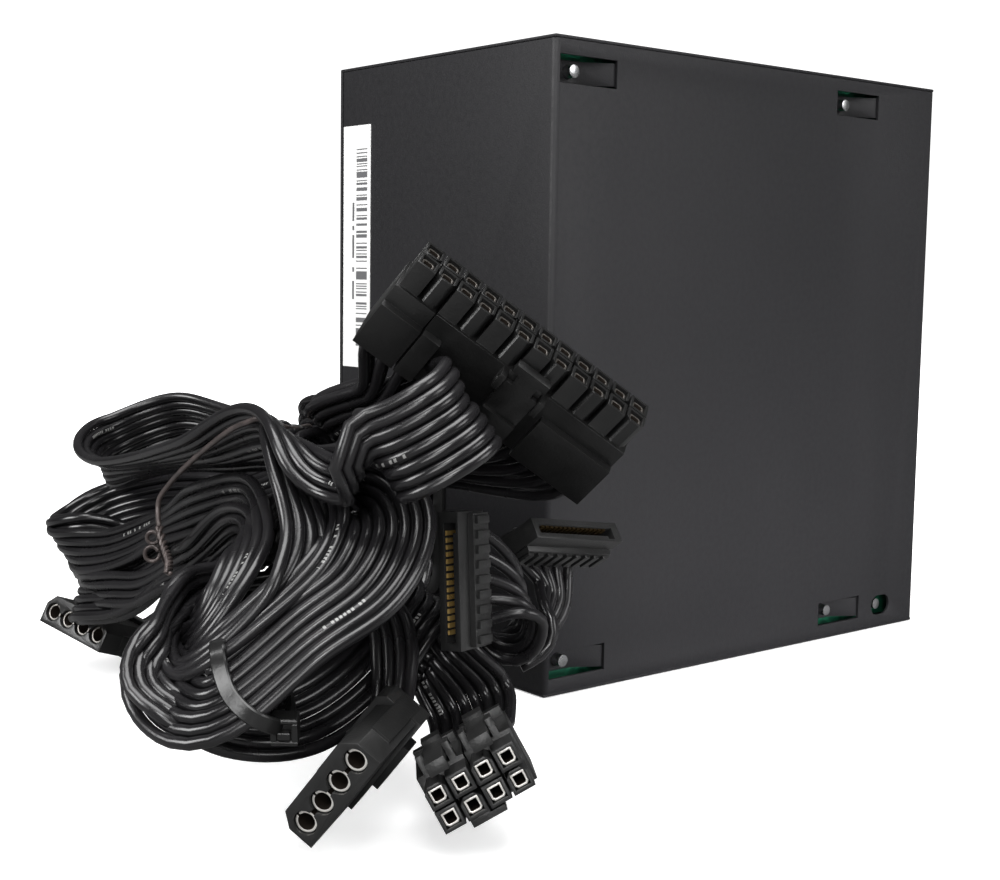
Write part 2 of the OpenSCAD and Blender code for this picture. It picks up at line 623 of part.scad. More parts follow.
// four-way drive power plug, its two corners at +y chamfered
module drive_plug() difference() {
  union() {
    translate([0, 0, -17]) linear_extrude(17) polygon(
      [[-10.5,-3.6], [10.5,-3.6], [10.5,1.2], [8.4,3.6], [-8.4,3.6], [-10.5,1.2]]);
    translate([0, 0, -21]) linear_extrude(5) polygon(
      [[-10.9,-4.4], [10.9,-4.4], [10.9,3.2], [9.6,4.6], [-9.6,4.6], [-10.9,3.2]]);
    for (x = [-10.5, 9.7]) box([x - 0.5, x + 1.3], [-2.4, 1.4], [-20, -6]);
    box([-5, 5], [-5.6, -4.3], [-21, -17]);
  }
  for (k = [-1.5:1.5]) translate([k*drive_pitch, -0.2, -22])
    cylinder(h = 23, r = 2.15, $fn = 32);
  for (k = [-1:1]) box(about(k*drive_pitch, 1.2), [-0.6, 0.2], [-5, 1]);
}
module drive_tubes() for (k = [-1.5:1.5]) translate([k*drive_pitch, -0.2, -12]) difference() {
  cylinder(h = 11.3, r = 1.95, $fn = 32);
  translate([0, 0, -1]) cylinder(h = 14, r = 1.5, $fn = 32);
  box(about(0, 0.2), [0.8, 2.8], [-1, 12]);
}
module drive_connector_a() color(plastic) place(drive_pose_a) drive_plug();
module drive_connector_b() color(plastic) place(drive_pose_b) drive_plug();

// fifteen-contact storage plug with an L-shaped mouth and a ribbed cable block
module storage_plug() difference() {
  union() {
    box([-12.4, 12.4], [-2.1, 2.1], [-9, 0]);
    box([-12, 12], [-3.2, -2], [-9, -3.5]);
    for (k = [-4:4]) box(about(k*2.7, 0.7), [-3.8, -3.1], [-8.4, -4.2]);
    box([-12, 12], [2, 2.7], [-9, -5]);
  }
  box([-11, 10.4], [-1, 0.9], [-5.6, 1]);
  box([8.6, 10.4], [-1.6, 0], [-5.6, 1]);
  for (k = [-2:2]) translate([k*4.2, 0, -10]) cylinder(h = 3.2, r = 1.2, $fn = 24);
}
module contact_row() for (k = [-7:7])
  box([k*1.27 - 0.7, k*1.27 + 0.1], [0.45, 0.85], [-5.4, -0.5]);
module storage_connector_a() color(plastic) place(storage_pose_a) storage_plug();
module storage_connector_b() color(plastic) place(storage_pose_b) storage_plug();
module crimp_terminals() color(tin) {
  place(main_pose) tubes(12, 3, 12);
  place(cpu_pose) tubes(4, 1, 2);
  place(graphics_pose) tubes(4, 2, 4);
  place(drive_pose_a) drive_tubes();
  place(drive_pose_b) drive_tubes();
}
module storage_contacts() color(gold) {
  place(storage_pose_a) contact_row();
  place(storage_pose_b) contact_row();
}

// ---------- harness; rows as described under flat cables ----------
cpu_route = [
  [-34,-33,38, 0,0,-1, 1], [-44,-5,36, 0,0,-1, 1], [-61,8.6,35, 0,0,-1, 1],
  [-78,11,35, 0,0,-1, 1], [-91,9,41, 0,0,-1, 1], [-107,-5,53, -0.1,-0.1,-1, 1],
  [-127,-31,62, -0.3,-0.6,-0.7, 1], [-128,-47,65, -0.1,-0.5,-0.9, 1],
  [-130,-66,68, 0,-0.5,-0.9, 1], [-131,-84,73, 0.1,-0.6,-0.8, 1],
  [-135,-96,75, 0.2,-0.6,-0.8, 1], [-141,-100,73, 0.3,-0.4,-0.9, 1],
  [-150,-96,67, 0.2,-0.3,-0.9, 1], [-150,-85,65, -0.2,-0.8,-0.6, 1],
  [-149,-68,65, -0.4,-0.8,-0.4, 1], [-147,-49,65, 0.6,0.6,-0.5, 1],
  [-145,-25,60, 0.7,0.6,-0.2, 1], [-143,-1,58, 0.8,0.6,0.2, 1], [-142,24,52, 0.8,0.6,0.2, 1],
  [-140,40,49, 0.8,0.6,0.1, 1], [-134,50,51, 0.8,0.6,-0.2, 1], [-124,51,58, 0.8,0.6,-0.3, 1],
  [-114,45,62, 0.7,0.6,-0.4, 1], [-112,35,58, 0.5,0.4,-0.8, 1], [-114,14,49, 0.3,0.2,-0.9, 1],
  [-114,-12,38, 0.1,0.2,-1, 1], [-117,-45,28, 0,0.3,-0.9, 1], [-120,-66,26, -0.3,0.4,-0.9, 1],
  [-124,-81,20, -0.5,0.5,-0.7, 1], [-131,-92.5,13.5, -0.73,0.48,-0.48, 1],
  [-136.5,-100.7,13.7, -0.73,0.48,-0.48, 0.95]];
main_route = [
  [-22,-33,36, 0,0,-1, 1], [-34,-1,36, 0,0,-1, 1], [-60,11.9,35, 0,0,-1, 1],
  [-78,14.4,35, 0,0,-1, 1], [-100,21,34, 0,0,-1, 1], [-120,36,33, 0,0,-1, 1],
  [-131,45,31, 0,-0.1,-1, 1], [-139,42,30, 0,-0.2,-1, 1], [-142,30,30, 0,-0.3,-1, 1],
  [-141,14,33, -0.2,-0.4,-0.9, 1], [-137,-4,39, -0.3,-0.4,-0.8, 1],
  [-132,-24,48, -0.1,-0.5,-0.8, 1], [-128,-44,57, 0.3,-0.5,-0.8, 1],
  [-126,-61,60, 0.6,-0.5,-0.6, 1.1], [-123.4,-73,65.9, 0.7,-0.42,-0.58, 1.45],
  [-122.1,-80.8,72.2, 0.7,-0.42,-0.58, 1.88]];
graphics_route = [
  [-42,-33,35, 0,0,1, 1], [-50,-7,35, 0,0,1, 1], [-63,6.3,35, 0,0,1, 1],
  [-78,8,35, 0,0,1, 1], [-93,0,34, 0,0,1, 1], [-110,-34,36, 0.1,0.1,1, 1],
  [-122,-60,35, 0.1,0.5,0.8, 1], [-137,-71,28, -0.1,0.8,0.5, 1], [-151,-76,22, 0,0.6,0.8, 1],
  [-163,-77,19, 0.4,0.6,0.7, 1], [-176,-76,18, 0.6,0.7,0.4, 1], [-182,-72,24, 0.8,0.6,0.2, 1],
  [-182,-64,30, 0.8,0.6,0.1, 1], [-176,-54,36, 0.7,0.6,-0.3, 1],
  [-166,-45,41, 0.6,0.5,-0.6, 1], [-153,-40,46, 0.5,0.5,-0.7, 1],
  [-142,-45,53, 0.5,0.5,-0.7, 1], [-137,-57,57, 0.8,0.4,-0.4, 1],
  [-139,-69,57, 0.7,0.7,-0.2, 1], [-143,-80,54, 0.2,0.9,0.1, 1],
  [-147,-88,50, -0.3,0.9,0.3, 1], [-154,-91,44, -0.3,0.9,0.3, 1], [-163,-89,37, 0,0.9,0.5, 1],
  [-169,-84,33, 0.2,0.8,0.5, 1], [-171,-76,31, 0.6,0.6,0.4, 0.9],
  [-168,-67,33, 0.9,0.3,0.1, 0.8], [-162,-59,32, 0.8,0,-0.6, 0.9],
  [-155,-50,30, 0.6,-0.2,-0.8, 1], [-146,-38,27, 0.7,-0.1,-0.7, 1],
  [-135,-32,18, 0.8,-0.4,-0.4, 1], [-125,-27,11, 0.8,-0.6,-0.1, 1],
  [-118.5,-19.3,8.2, 0.81,-0.59,0, 0.97], [-113.4,-12.3,8, 0.81,-0.59,0, 0.95]];
storage_route = [
  [-50,-33,42, 0,0,-1, 1], [-56,-8,42, 0,0,-1, 1], [-66,3.8,42, 0,0,-1, 1],
  [-80,5,42, 0,0,-1, 1], [-98,14,45, 0,0,-1, 1], [-112,26,45, 0,-0.1,-1, 1],
  [-122,40,42, 0.1,-0.2,-1, 1], [-129,54,38, 0.2,-0.3,-1, 1],
  [-140,57,33, 0.3,-0.4,-0.9, 1], [-147,47,30, 0.3,-0.5,-0.8, 1],
  [-148,35,31, 0,-0.7,-0.7, 1], [-146,24,32, -0.2,-0.7,-0.7, 1],
  [-143,13,36, -0.3,-0.6,-0.8, 1], [-141,5,40, -0.4,-0.5,-0.7, 1],
  [-141,-13,47, 0.2,0,-0.9, 1], [-142,-29,51, 0.4,0.2,-0.9, 1], [-146,-41,51, 0.3,0.6,-0.7, 1],
  [-153,-54,49, 0.2,0.9,-0.4, 1], [-159,-63,46, 0.1,1,0, 1], [-166,-68,42, 0.2,1,0.1, 1],
  [-170,-67,36, 0.5,0.8,0.2, 1], [-171,-61,32, 0.9,0.3,0.2, 1],
  [-167,-54,31, 0.9,-0.3,-0.3, 1], [-158,-48,33, 0.6,-0.2,-0.8, 1],
  [-146,-42,35, 0.2,0,-1, 1], [-130,-48,32, 0.1,0,-1, 1], [-118,-60,29, 0.1,0,-1, 1],
  [-110,-72,28, 0.1,-0.1,-1, 1], [-109,-80.5,32, -0.1,-0.5,-0.85, 1],
  [-113.3,-83.7,37.6, -0.5,-0.4,-0.75, 1.2], [-119.6,-83.8,40.6, -0.04,-0.11,-0.99, 1.6],
  [-125.3,-86,41.4, -0.04,-0.11,-0.99, 1.9]];
storage_tail_route = [
  [-110,-76,24, 0.9,-0.3,0.3, 1], [-103,-74,30, 1,0,0, 1],
  [-100.3,-74,36.5, 0.98,0.09,-0.14, 1.5], [-99,-75.9,42.1, 0.98,0.09,-0.14, 1.9]];
drive_route_a = [
  [-58,-33,36, 0,0,-1, 1], [-61,-14,36, 0,0,-1, 1], [-68,1,36, 0,0,-1, 1],
  [-80,1,37, 0,0,-1, 1], [-94,0,44, 0.2,0,-1, 1], [-112,-22,54, 0.6,0,-0.8, 1],
  [-127,-38,62, 0.9,-0.2,-0.4, 1], [-139,-46,68, 0.9,-0.1,-0.3, 1],
  [-149,-57,67, 0.9,-0.2,-0.4, 1], [-153,-67,61, 0.9,0.1,-0.2, 1],
  [-154,-73,56, 0.9,0.3,0.1, 1], [-156,-77,51, 1,0,0.3, 1], [-160,-80,44, 1,0.1,0.2, 1],
  [-168,-78,38, 0.9,0.5,0.2, 1], [-174,-75,33, 0.8,0.6,0.2, 1], [-175,-69,30, 0.8,0.6,0.1, 1],
  [-172,-61,30, 0.9,0.3,-0.1, 1], [-165,-54,32, 0.8,0,-0.6, 1], [-154,-50,35, 0.5,0,-0.8, 1],
  [-143,-56,36, 0.5,0.2,-0.8, 1], [-140,-68,34, 0.8,-0.1,-0.5, 1],
  [-142,-78,29, 0.9,-0.3,-0.2, 1], [-139.5,-82.5,20, 0.5,-0.6,0.6, 1.1],
  [-147.2,-87.3,15.7, 0.26,-0.57,0.78, 2.2]];
drive_route_b = [
  [-50,-33,28, 0,0,-1, 1], [-56,-8,28, 0,0,-1, 1], [-66,3.8,28, 0,0,-1, 1],
  [-80,5,28, 0,0,-1, 1], [-98,14,31, 0,0,-1, 1], [-111,27,33, 0,-0.1,-1, 1],
  [-121,40,31, 0.1,-0.2,-1, 1], [-128,51,27, 0.2,-0.3,-1, 1],
  [-137,53,22, 0.3,-0.4,-0.9, 1], [-144,43,20, 0.3,-0.5,-0.8, 1],
  [-148,28,23, 0,-0.7,-0.7, 1], [-148,17,25, -0.2,-0.7,-0.7, 1],
  [-147,7,28, -0.3,-0.6,-0.8, 1], [-146,-1,33, -0.3,-0.5,-0.8, 1],
  [-144,-16,40, 0.3,0.1,-0.9, 1], [-146,-32,45, 0.4,0.3,-0.8, 1],
  [-150,-46,46, 0.3,0.7,-0.6, 1], [-157,-57,44, 0.2,0.9,-0.3, 1], [-162,-61,40, 0.3,0.9,0, 1],
  [-166,-58,36, 0.7,0.7,0.1, 1], [-165,-51,32, 0.9,0.1,0, 1], [-160,-43,31, 0.8,-0.3,-0.5, 1],
  [-152,-34,31, 0.6,-0.2,-0.8, 1], [-142,-15,26, 0.4,-0.1,-0.9, 1],
  [-131,10,17, 0.3,-0.1,-0.9, 1], [-118,28,11, 0.2,-0.1,-1, 1], [-108,41,8, 0.1,0,-1, 1],
  [-107,50,7, 0,0,-1, 1], [-114,54,6.3, 0.1,-0.5,-0.8, 1.1],
  [-122,49,5, 0.29,-0.9,-0.35, 1.6], [-129.6,44.5,6.4, 0.29,-0.93,-0.23, 2.2]];
module main_cable() color(plastic) cable(main_route, 12, 4.4);
module cpu_cable() color(plastic) cable(cpu_route, 8);
module graphics_cable() color(plastic) cable(graphics_route, 8);
module storage_cable() color(plastic) {
  cable(storage_route, 5);
  cable(storage_tail_route, 5);
}
module drive_cable_a() color(plastic) cable(drive_route_a, 4);
module drive_cable_b() color(plastic) cable(drive_route_b, 4);

// strap closed around a coil, with its square head
zip_route = [
  [-175.5,-81.4,35.1, 0.7,-0.6,0.4, 1], [-176.2,-83.6,32, 0.7,-0.6,0.4, 1],
  [-176.6,-87,28.8, 0.6,-0.5,0.6, 1], [-176.3,-90.3,27, 0.5,-0.4,0.7, 1],
  [-175,-93,25.4, 0.4,-0.3,0.9, 1], [-171.1,-92.5,23.3, 0.2,-0.2,1, 1],
  [-167.5,-89.5,22, 0.2,-0.2,1, 1], [-162.5,-83,21.8, 0.2,-0.2,1, 1],
  [-158.6,-75,23.8, 0.4,-0.3,0.8, 1], [-158.6,-67.6,27.5, 0.7,-0.6,0.5, 1],
  [-164,-66,31.5, 0.8,-0.6,0.3, 1], [-171,-72,35, 0.7,-0.6,0.4, 1],
  [-175.5,-81.4,35.1, 0.7,-0.6,0.4, 1]];
zip_head_pose = [[-168.8,-91.4,22.6], [12,0,-39]];
module zip_tie() color(plastic) {
  cable(zip_route, 1.3, 1.1);
  place(zip_head_pose) box(about(0, 2.3), about(0, 2), about(0, 2.4));
}
// wire bent round the whole bundle, with its two ends wound together
twist_route = [
  [-146,-63,73.6, 0.5,0.3,0.8, 1], [-151.3,-57.5,70.5, 1,0,0.6, 1],
  [-152.7,-47,67.2, 1,0,0.6, 1], [-151.7,-35,62.3, 1,0,0.4, 1],
  [-149.5,-19.3,55.7, 1,0.2,0.3, 1], [-148.8,-9,49, 1,0.2,0, 1], [-150,-9.5,42.3, 1,0.2,0, 1],
  [-147,-5,36, 1,0.2,-0.4, 1], [-141,0,30.5, 0.6,0.2,-0.8, 1], [-132,4,31, 0,0.2,-1, 1],
  [-124,4,38, -0.7,0.2,-0.7, 1], [-119,-4,48, -1,0.2,-0.2, 1], [-120,-18,58, -0.9,0.2,0.4, 1],
  [-129,-38,67, -0.5,0.2,0.8, 1], [-139,-55,73.5, 0,0.3,1, 1],
  [-146,-63,73.6, 0.5,0.3,0.8, 1]];
twist_end_route = [
  [-150,-9.8,42.3, 1,0.2,0, 1], [-152.3,-17.9,39, 1,0.2,0, 1],
  [-158.2,-30.3,37.2, 1,0.2,0, 1]];
module twist_tie() color(tie_grey) {
  cable(twist_route, 0.5, 1.1);
  cable(twist_end_route, 0.7, 1.5);
}

case_base();
case_cover();
cover_screws();
exit_grommet();
labels();
fan_frame();
fan_bearing();
fan_stator();
fan_rotor();
fan_magnet();
fan_shaft();
fan_screws();
fan_guard();
fan_cable();
ac_inlet();
switch_bezel();
rocker();
panel_terminals();
circuit_board();
board_screws();
insulator_sheet();
primary_heatsink();
secondary_heatsink();
main_transformer();
transformer_core();
standby_transformer();
electrolytic_capacitors();
wound_chokes();
x_capacitors();
power_devices();
line_fuse();
wire_comb();
mains_wires();
main_connector();
main_latch();
four_pin_block();
four_pin_terminals();
cpu_connector_a();
cpu_connector_b();
cpu_latch_a();
cpu_latch_b();
cpu_terminals_b();
graphics_connector();
graphics_latch();
two_pin_block();
two_pin_terminals();
drive_connector_a();
drive_connector_b();
storage_connector_a();
storage_connector_b();
crimp_terminals();
storage_contacts();
main_cable();
cpu_cable();
graphics_cable();
storage_cable();
drive_cable_a();
drive_cable_b();
zip_tie();
twist_tie();
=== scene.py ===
"""A computer power supply with its harness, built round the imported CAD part.

Metres, z up, the floor at z = 0. The case stands on the floor near the origin. The cables leave
it towards -x and lie bundled there, ending in their plugs. The camera stands on the -x, -y side.
Harness, strap and tie are laid out in millimetres and scaled when their meshes are made.
"""
import json
import math
import random
import bpy
import numpy as np
from mathutils import Matrix, Vector


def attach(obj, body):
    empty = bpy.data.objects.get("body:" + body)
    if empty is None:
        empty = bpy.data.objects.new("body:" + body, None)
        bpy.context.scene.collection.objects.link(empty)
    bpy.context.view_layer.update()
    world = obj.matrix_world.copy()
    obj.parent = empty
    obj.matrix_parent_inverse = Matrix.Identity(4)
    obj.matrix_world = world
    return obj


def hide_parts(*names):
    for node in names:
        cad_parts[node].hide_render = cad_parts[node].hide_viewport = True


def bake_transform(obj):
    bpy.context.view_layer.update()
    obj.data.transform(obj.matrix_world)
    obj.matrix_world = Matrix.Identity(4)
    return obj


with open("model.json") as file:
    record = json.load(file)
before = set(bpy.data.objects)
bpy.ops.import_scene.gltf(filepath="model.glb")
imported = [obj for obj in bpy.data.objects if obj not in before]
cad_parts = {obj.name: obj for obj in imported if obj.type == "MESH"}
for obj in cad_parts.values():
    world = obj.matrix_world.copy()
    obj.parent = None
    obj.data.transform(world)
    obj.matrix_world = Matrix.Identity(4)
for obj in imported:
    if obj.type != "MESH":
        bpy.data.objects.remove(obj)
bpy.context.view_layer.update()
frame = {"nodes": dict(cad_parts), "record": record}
PARTS = frame["nodes"]
SCENE = bpy.context.scene
rng = random.Random(7)
MM = 0.001


# ------------------------------------------------------------------ node trees
def rgb(tone):
    """A plain number stands for a grey."""
    return tone if isinstance(tone, tuple) else (tone,) * 3


class Graph:
    """A node tree with short ways to add nodes. Inputs take either values or sockets."""

    def __init__(self, tree):
        self.tree = tree

    def put(self, socket, value):
        if isinstance(value, bpy.types.NodeSocket):
            self.tree.links.new(value, socket)
        else:
            socket.default_value = value

    def add(self, kind, inputs=None, **settings):
        made = self.tree.nodes.new("ShaderNode" + kind)
        # settings first: they decide which inputs are available
        for key, value in settings.items():
            setattr(made, key, value)
        for key, value in (inputs or {}).items():
            self.put(made.inputs[key], value)
        return made

    def calc(self, operation, *values):
        return self.add("Math", dict(enumerate(values)), operation=operation).outputs[0]

    def axes(self, vector):
        return self.add("SeparateXYZ", {0: vector}).outputs

    def ramp(self, source, *stops):
        """Each stop is a position and a tone."""
        made = self.add("ValToRGB", {"Fac": source})
        points = made.color_ramp.elements
        while len(points) < len(stops):
            points.new(0.5)
        for point, (position, tone) in zip(points, stops):
            point.position = position
            point.color = (*rgb(tone), 1)
        return made.outputs["Color"]

    def mix(self, factor, low, high):
        inputs = {"Factor": factor, "A": low, "B": high}
        return self.add("Mix", inputs, data_type="RGBA").outputs["Result"]

    def random_cells(self, value, step, cut):
        """On for a random choice of the cells that are step long."""
        cell = self.calc("FLOOR", self.calc("DIVIDE", value, step))
        draw = self.add("TexWhiteNoise", {"W": cell}, noise_dimensions="1D")
        return self.calc("GREATER_THAN", draw.outputs["Value"], cut)

    def stripes(self, value, step, share):
        """On for the first share of every step."""
        return self.calc("LESS_THAN", self.calc("FRACT", self.calc("DIVIDE", value, step)), share)

    def within(self, value, limits):
        above = self.calc("GREATER_THAN", value, limits[0])
        return self.calc("MULTIPLY", above, self.calc("LESS_THAN", value, limits[1]))


class Material(Graph):
    """A new material whose textures lie in object space."""

    def __init__(self, name):
        self.block = bpy.data.materials.new(name)
        self.block.use_nodes = True
        super().__init__(self.block.node_tree)
        self.spot = self.add("TexCoord").outputs["Object"]

    def surface(self, values):
        shader = self.tree.nodes["Principled BSDF"]
        for key, value in values.items():
            self.put(shader.inputs[key], value)

    def noise(self, scale, detail=2.0, rough=0.5):
        inputs = {"Scale": scale, "Detail": detail, "Roughness": rough, "Vector": self.spot}
        return self.add("TexNoise", inputs).outputs["Fac"]

    def bump(self, height, distance, strength=1.0):
        inputs = {"Distance": distance, "Strength": strength, "Height": height}
        self.surface({"Normal": self.add("Bump", inputs).outputs[0]})


# ------------------------------------------------------------------ materials
def grained(name, tones, scale, rough, metallic=0.0, bump=0.0, bump_scale=None, specular=0.5):
    """Two near tones and two roughnesses driven by one noise, with a fine bump."""
    mat = Material(name)
    grain = mat.noise(scale=scale, detail=4.0, rough=0.6)
    mat.surface({
        "Base Color": mat.ramp(grain, (0.3, tones[0]), (0.7, tones[1])),
        "Roughness": mat.ramp(grain, (0.25, rough[0]), (0.75, rough[1])),
        "Metallic": metallic,
        "Specular IOR Level": specular,
    })
    if bump:
        mat.bump(mat.noise(scale=bump_scale or scale * 6), distance=bump)
    return mat.block


def powder_coat():
    """Near-black paint with a sparkling fine texture."""
    mat = Material("powder_coat")
    patches = mat.noise(scale=9, detail=4, rough=0.6)
    fine = mat.noise(scale=2600, rough=0.6)
    medium = mat.noise(scale=700)
    dark, light = (0.0118, 0.0116, 0.0130), (0.0160, 0.0156, 0.0172)
    mat.surface({
        "Base Color": mat.ramp(patches, (0.3, dark), (0.7, light)),
        "Roughness": mat.ramp(medium, (0.3, 0.48), (0.7, 0.60)),
        "Specular IOR Level": 0.32,
    })
    fine_share, medium_share = 0.7, 0.6
    height = mat.calc("ADD", mat.calc("MULTIPLY", fine, fine_share),
                      mat.calc("MULTIPLY", medium, medium_share))
    mat.bump(height, distance=0.00006, strength=0.9)
    return mat.block


# print on the wires: lengths in mm along the wire, widths as a share of the way round
DASH_STEP = 0.8
DASH_SHARE = 0.6
DASH_CUT = 0.28      # cells whose random draw lies above this carry a dash
BLOCK_STEP = 47.0
BLOCK_SHARE = 0.22
PRINT_CENTRE = 0.5
PRINT_HALF_WIDTH = 0.05
PRINT_STRENGTH = 0.33
PRINT_COLOUR = (0.62, 0.62, 0.6, 1)


def insulation(name, printed):
    """Black wire skin. Printed wires carry rows of plain dashes along one strip."""
    mat = Material(name)
    patches = mat.noise(scale=60, detail=3, rough=0.6)
    base = mat.ramp(patches, (0.3, (0.0055, 0.0052, 0.0058)), (0.75, (0.011, 0.0104, 0.0115)))
    mat.surface({
        "Base Color": base,
        "Roughness": mat.ramp(patches, (0.3, 0.2), (0.7, 0.32)),
        "Specular IOR Level": 0.55,
    })
    mat.bump(mat.noise(scale=900), distance=0.00003, strength=0.6)
    if printed:
        along, around, _ = mat.axes(mat.add("UVMap", uv_map="along").outputs[0])
        chosen = mat.random_cells(along, DASH_STEP, DASH_CUT)
        dash = mat.stripes(along, DASH_STEP, DASH_SHARE)
        block = mat.stripes(along, BLOCK_STEP, BLOCK_SHARE)
        off_centre = mat.calc("ABSOLUTE", mat.calc("SUBTRACT", around, PRINT_CENTRE))
        strip = mat.calc("LESS_THAN", off_centre, PRINT_HALF_WIDTH)
        ink = mat.calc("MULTIPLY", mat.calc("MULTIPLY", chosen, dash),
                       mat.calc("MULTIPLY", block, strip))
        ink = mat.calc("MULTIPLY", ink, PRINT_STRENGTH)
        mat.surface({"Base Color": mat.mix(ink, base, PRINT_COLOUR)})
    return mat.block


# label print, in metres
CODE_FACE_X = -0.069                              # the bar code is printed on the -x side of this
CODE_Y, CODE_Z = (0.0300, 0.0350), (0.0775, 0.1295)
DIGITS_Y, DIGITS_Z = (0.0359, 0.0368), (0.090, 0.118)
CODE_STEP, DIGIT_STEP = 0.00031, 0.0012
BAR_CUT = 0.5                                     # half of the cells are inked
ROW_STEP, ROW_SHARE, ROW_X = 0.0065, 0.10, (-0.047, 0.043)
COLUMN_STEP, COLUMN_SHARE, COLUMN_Y = 0.0193, 0.03, (-0.0215, 0.024)
LABEL_INK = (0.13, 0.13, 0.135, 1)


def label_stock():
    """White paper: a bar code on the cable face, ruled lines across x and y elsewhere."""
    mat = Material("label_stock")
    x, y, z = mat.axes(mat.spot)

    def bars(step, y_limits, z_limits):
        box = mat.calc("MULTIPLY", mat.within(y, y_limits), mat.within(z, z_limits))
        return mat.calc("MULTIPLY", mat.random_cells(z, step, BAR_CUT), box)

    on_face = mat.calc("LESS_THAN", x, CODE_FACE_X)
    code = mat.calc("MAXIMUM", bars(CODE_STEP, CODE_Y, CODE_Z),
                    bars(DIGIT_STEP, DIGITS_Y, DIGITS_Z))
    rows = mat.calc("MULTIPLY", mat.stripes(y, ROW_STEP, ROW_SHARE), mat.within(x, ROW_X))
    columns = mat.calc("MULTIPLY", mat.stripes(x, COLUMN_STEP, COLUMN_SHARE),
                       mat.within(y, COLUMN_Y))
    grid = mat.calc("MAXIMUM", rows, columns)
    ink = mat.calc("ADD", mat.calc("MULTIPLY", on_face, code),
                   mat.calc("MULTIPLY", mat.calc("SUBTRACT", 1.0, on_face), grid))
    fibre = mat.noise(scale=300, detail=3)
    paper = mat.ramp(fibre, (0.3, (0.80, 0.80, 0.79)), (0.7, (0.86, 0.86, 0.85)))
    mat.surface({"Base Color": mat.mix(ink, paper, LABEL_INK), "Roughness": 0.42})
    mat.bump(fibre, distance=0.00003)
    return mat.block


def circuit_board():
    """Green board with lighter lines along the edges of a cell pattern."""
    mat = Material("board")
    cells = mat.add("TexVoronoi", {"Scale": 180, "Vector": mat.spot}, feature="DISTANCE_TO_EDGE")
    light, dark = (0.010, 0.085, 0.045), (0.005, 0.050, 0.028)
    mat.surface({
        "Base Color": mat.ramp(cells.outputs["Distance"], (0.05, light), (0.12, dark)),
        "Roughness": 0.35,
    })
    mat.bump(mat.noise(scale=500), distance=0.00003)
    return mat.block


def copper_turns():
    """Enamelled turns of wire: fine wave bands."""
    turn_pitch = 0.0006
    mat = Material("copper_turns")
    inputs = {"Scale": 1 / turn_pitch / 6, "Distortion": 1.5, "Vector": mat.spot}
    wave = mat.add("TexWave", inputs).outputs["Fac"]
    mat.surface({
        "Base Color": mat.ramp(wave, (0.2, (0.32, 0.11, 0.035)), (0.8, (0.75, 0.33, 0.13))),
        "Metallic": 0.8,
        "Roughness": 0.35,
    })
    mat.bump(wave, distance=0.0002)
    return mat.block


# slot: name, (dark tone, light tone), grain scale, (low, high roughness), metallic,
#       bump height in m, bump grain scale (six times the grain scale where left out)
GRAINED = {
    "black_screws": ("black_oxide", (0.012, 0.03), 300, (0.35, 0.5), 0.6, 0.00003),
    "fan_plastic": ("fan_plastic", (0.010, 0.016), 40, (0.38, 0.5), 0, 0.00003, 1500),
    "sintered_bronze": ("bronze", ((0.30, 0.17, 0.07), (0.42, 0.25, 0.1)), 400, (0.4, 0.55),
                        1, 0.00003),
    "ferrite": ("ferrite", (0.035, 0.055), 200, (0.5, 0.65), 0.1, 0.00004),
    "bright_steel": ("bright_steel", ((0.55, 0.56, 0.57), (0.72, 0.72, 0.73)), 250,
                     (0.22, 0.36), 1, 0.00003),
    "guard_wire": ("guard_wire", (0.05, 0.09), 150, (0.25, 0.35), 0.9, 0.00002),
    "rocker_plastic": ("rocker_plastic", (0.008, 0.012), 60, (0.18, 0.26), 0, 0.00002),
    "tinned_metal": ("tinned", ((0.78, 0.76, 0.72), (0.95, 0.93, 0.88)), 600, (0.3, 0.42),
                     0.72, 0.00003),
    "clear_film": ("film", ((0.5, 0.5, 0.45), (0.62, 0.62, 0.56)), 50, (0.3, 0.4), 0, 0.00003),
    "heatsink_aluminium": ("milled_aluminium", ((0.6, 0.61, 0.62), (0.75, 0.76, 0.77)), 120,
                           (0.3, 0.42), 1, 0.00003),
    "winding_tape": ("tape", ((0.55, 0.38, 0.03), (0.68, 0.5, 0.06)), 80, (0.3, 0.4),
                     0, 0.00004),
    "capacitor_sleeve": ("sleeve", ((0.012, 0.012, 0.03), (0.02, 0.02, 0.045)), 50, (0.2, 0.3),
                         0, 0.00002),
    "film_capacitor": ("film_capacitor", ((0.6, 0.38, 0.02), (0.7, 0.46, 0.04)), 50,
                       (0.22, 0.3), 0, 0.00002),
    "device_epoxy": ("epoxy", (0.012, 0.02), 200, (0.4, 0.5), 0, 0.00003),
    "fuse_ceramic": ("ceramic", ((0.7, 0.69, 0.64), (0.78, 0.77, 0.72)), 100, (0.2, 0.3),
                     0, 0.00002),
    "comb_nylon": ("comb", ((0.62, 0.6, 0.52), (0.7, 0.68, 0.6)), 100, (0.4, 0.5), 0, 0.00003),
    "gold_plate": ("gold", ((0.80, 0.50, 0.15), (0.95, 0.66, 0.24)), 400, (0.25, 0.36),
                   0.8, 0.00002),
    "black_nylon": ("black_nylon", (0.0085, 0.014), 120, (0.3, 0.42), 0, 0.00004, 1800),
    "main_nylon": ("main_nylon", (0.0042, 0.0075), 120, (0.3, 0.42), 0, 0.00004, 1800),
}
MATERIALS = {
    "case_paint": powder_coat(),
    "label_paper": label_stock(),
    "winding_copper": copper_turns(),
    "board_green": circuit_board(),
    "wire_pvc": insulation("wire_plain", printed=False),
}
for slot_name, values in GRAINED.items():
    MATERIALS[slot_name] = grained(*values)
WIRE_PRINTED = insulation("wire_printed", printed=True)
TIE_WIRE = grained("tie_wire", tones=((0.032, 0.026, 0.025), (0.115, 0.093, 0.088)), scale=260,
                   rough=(0.25, 0.45), metallic=0.35, bump=0.00004)
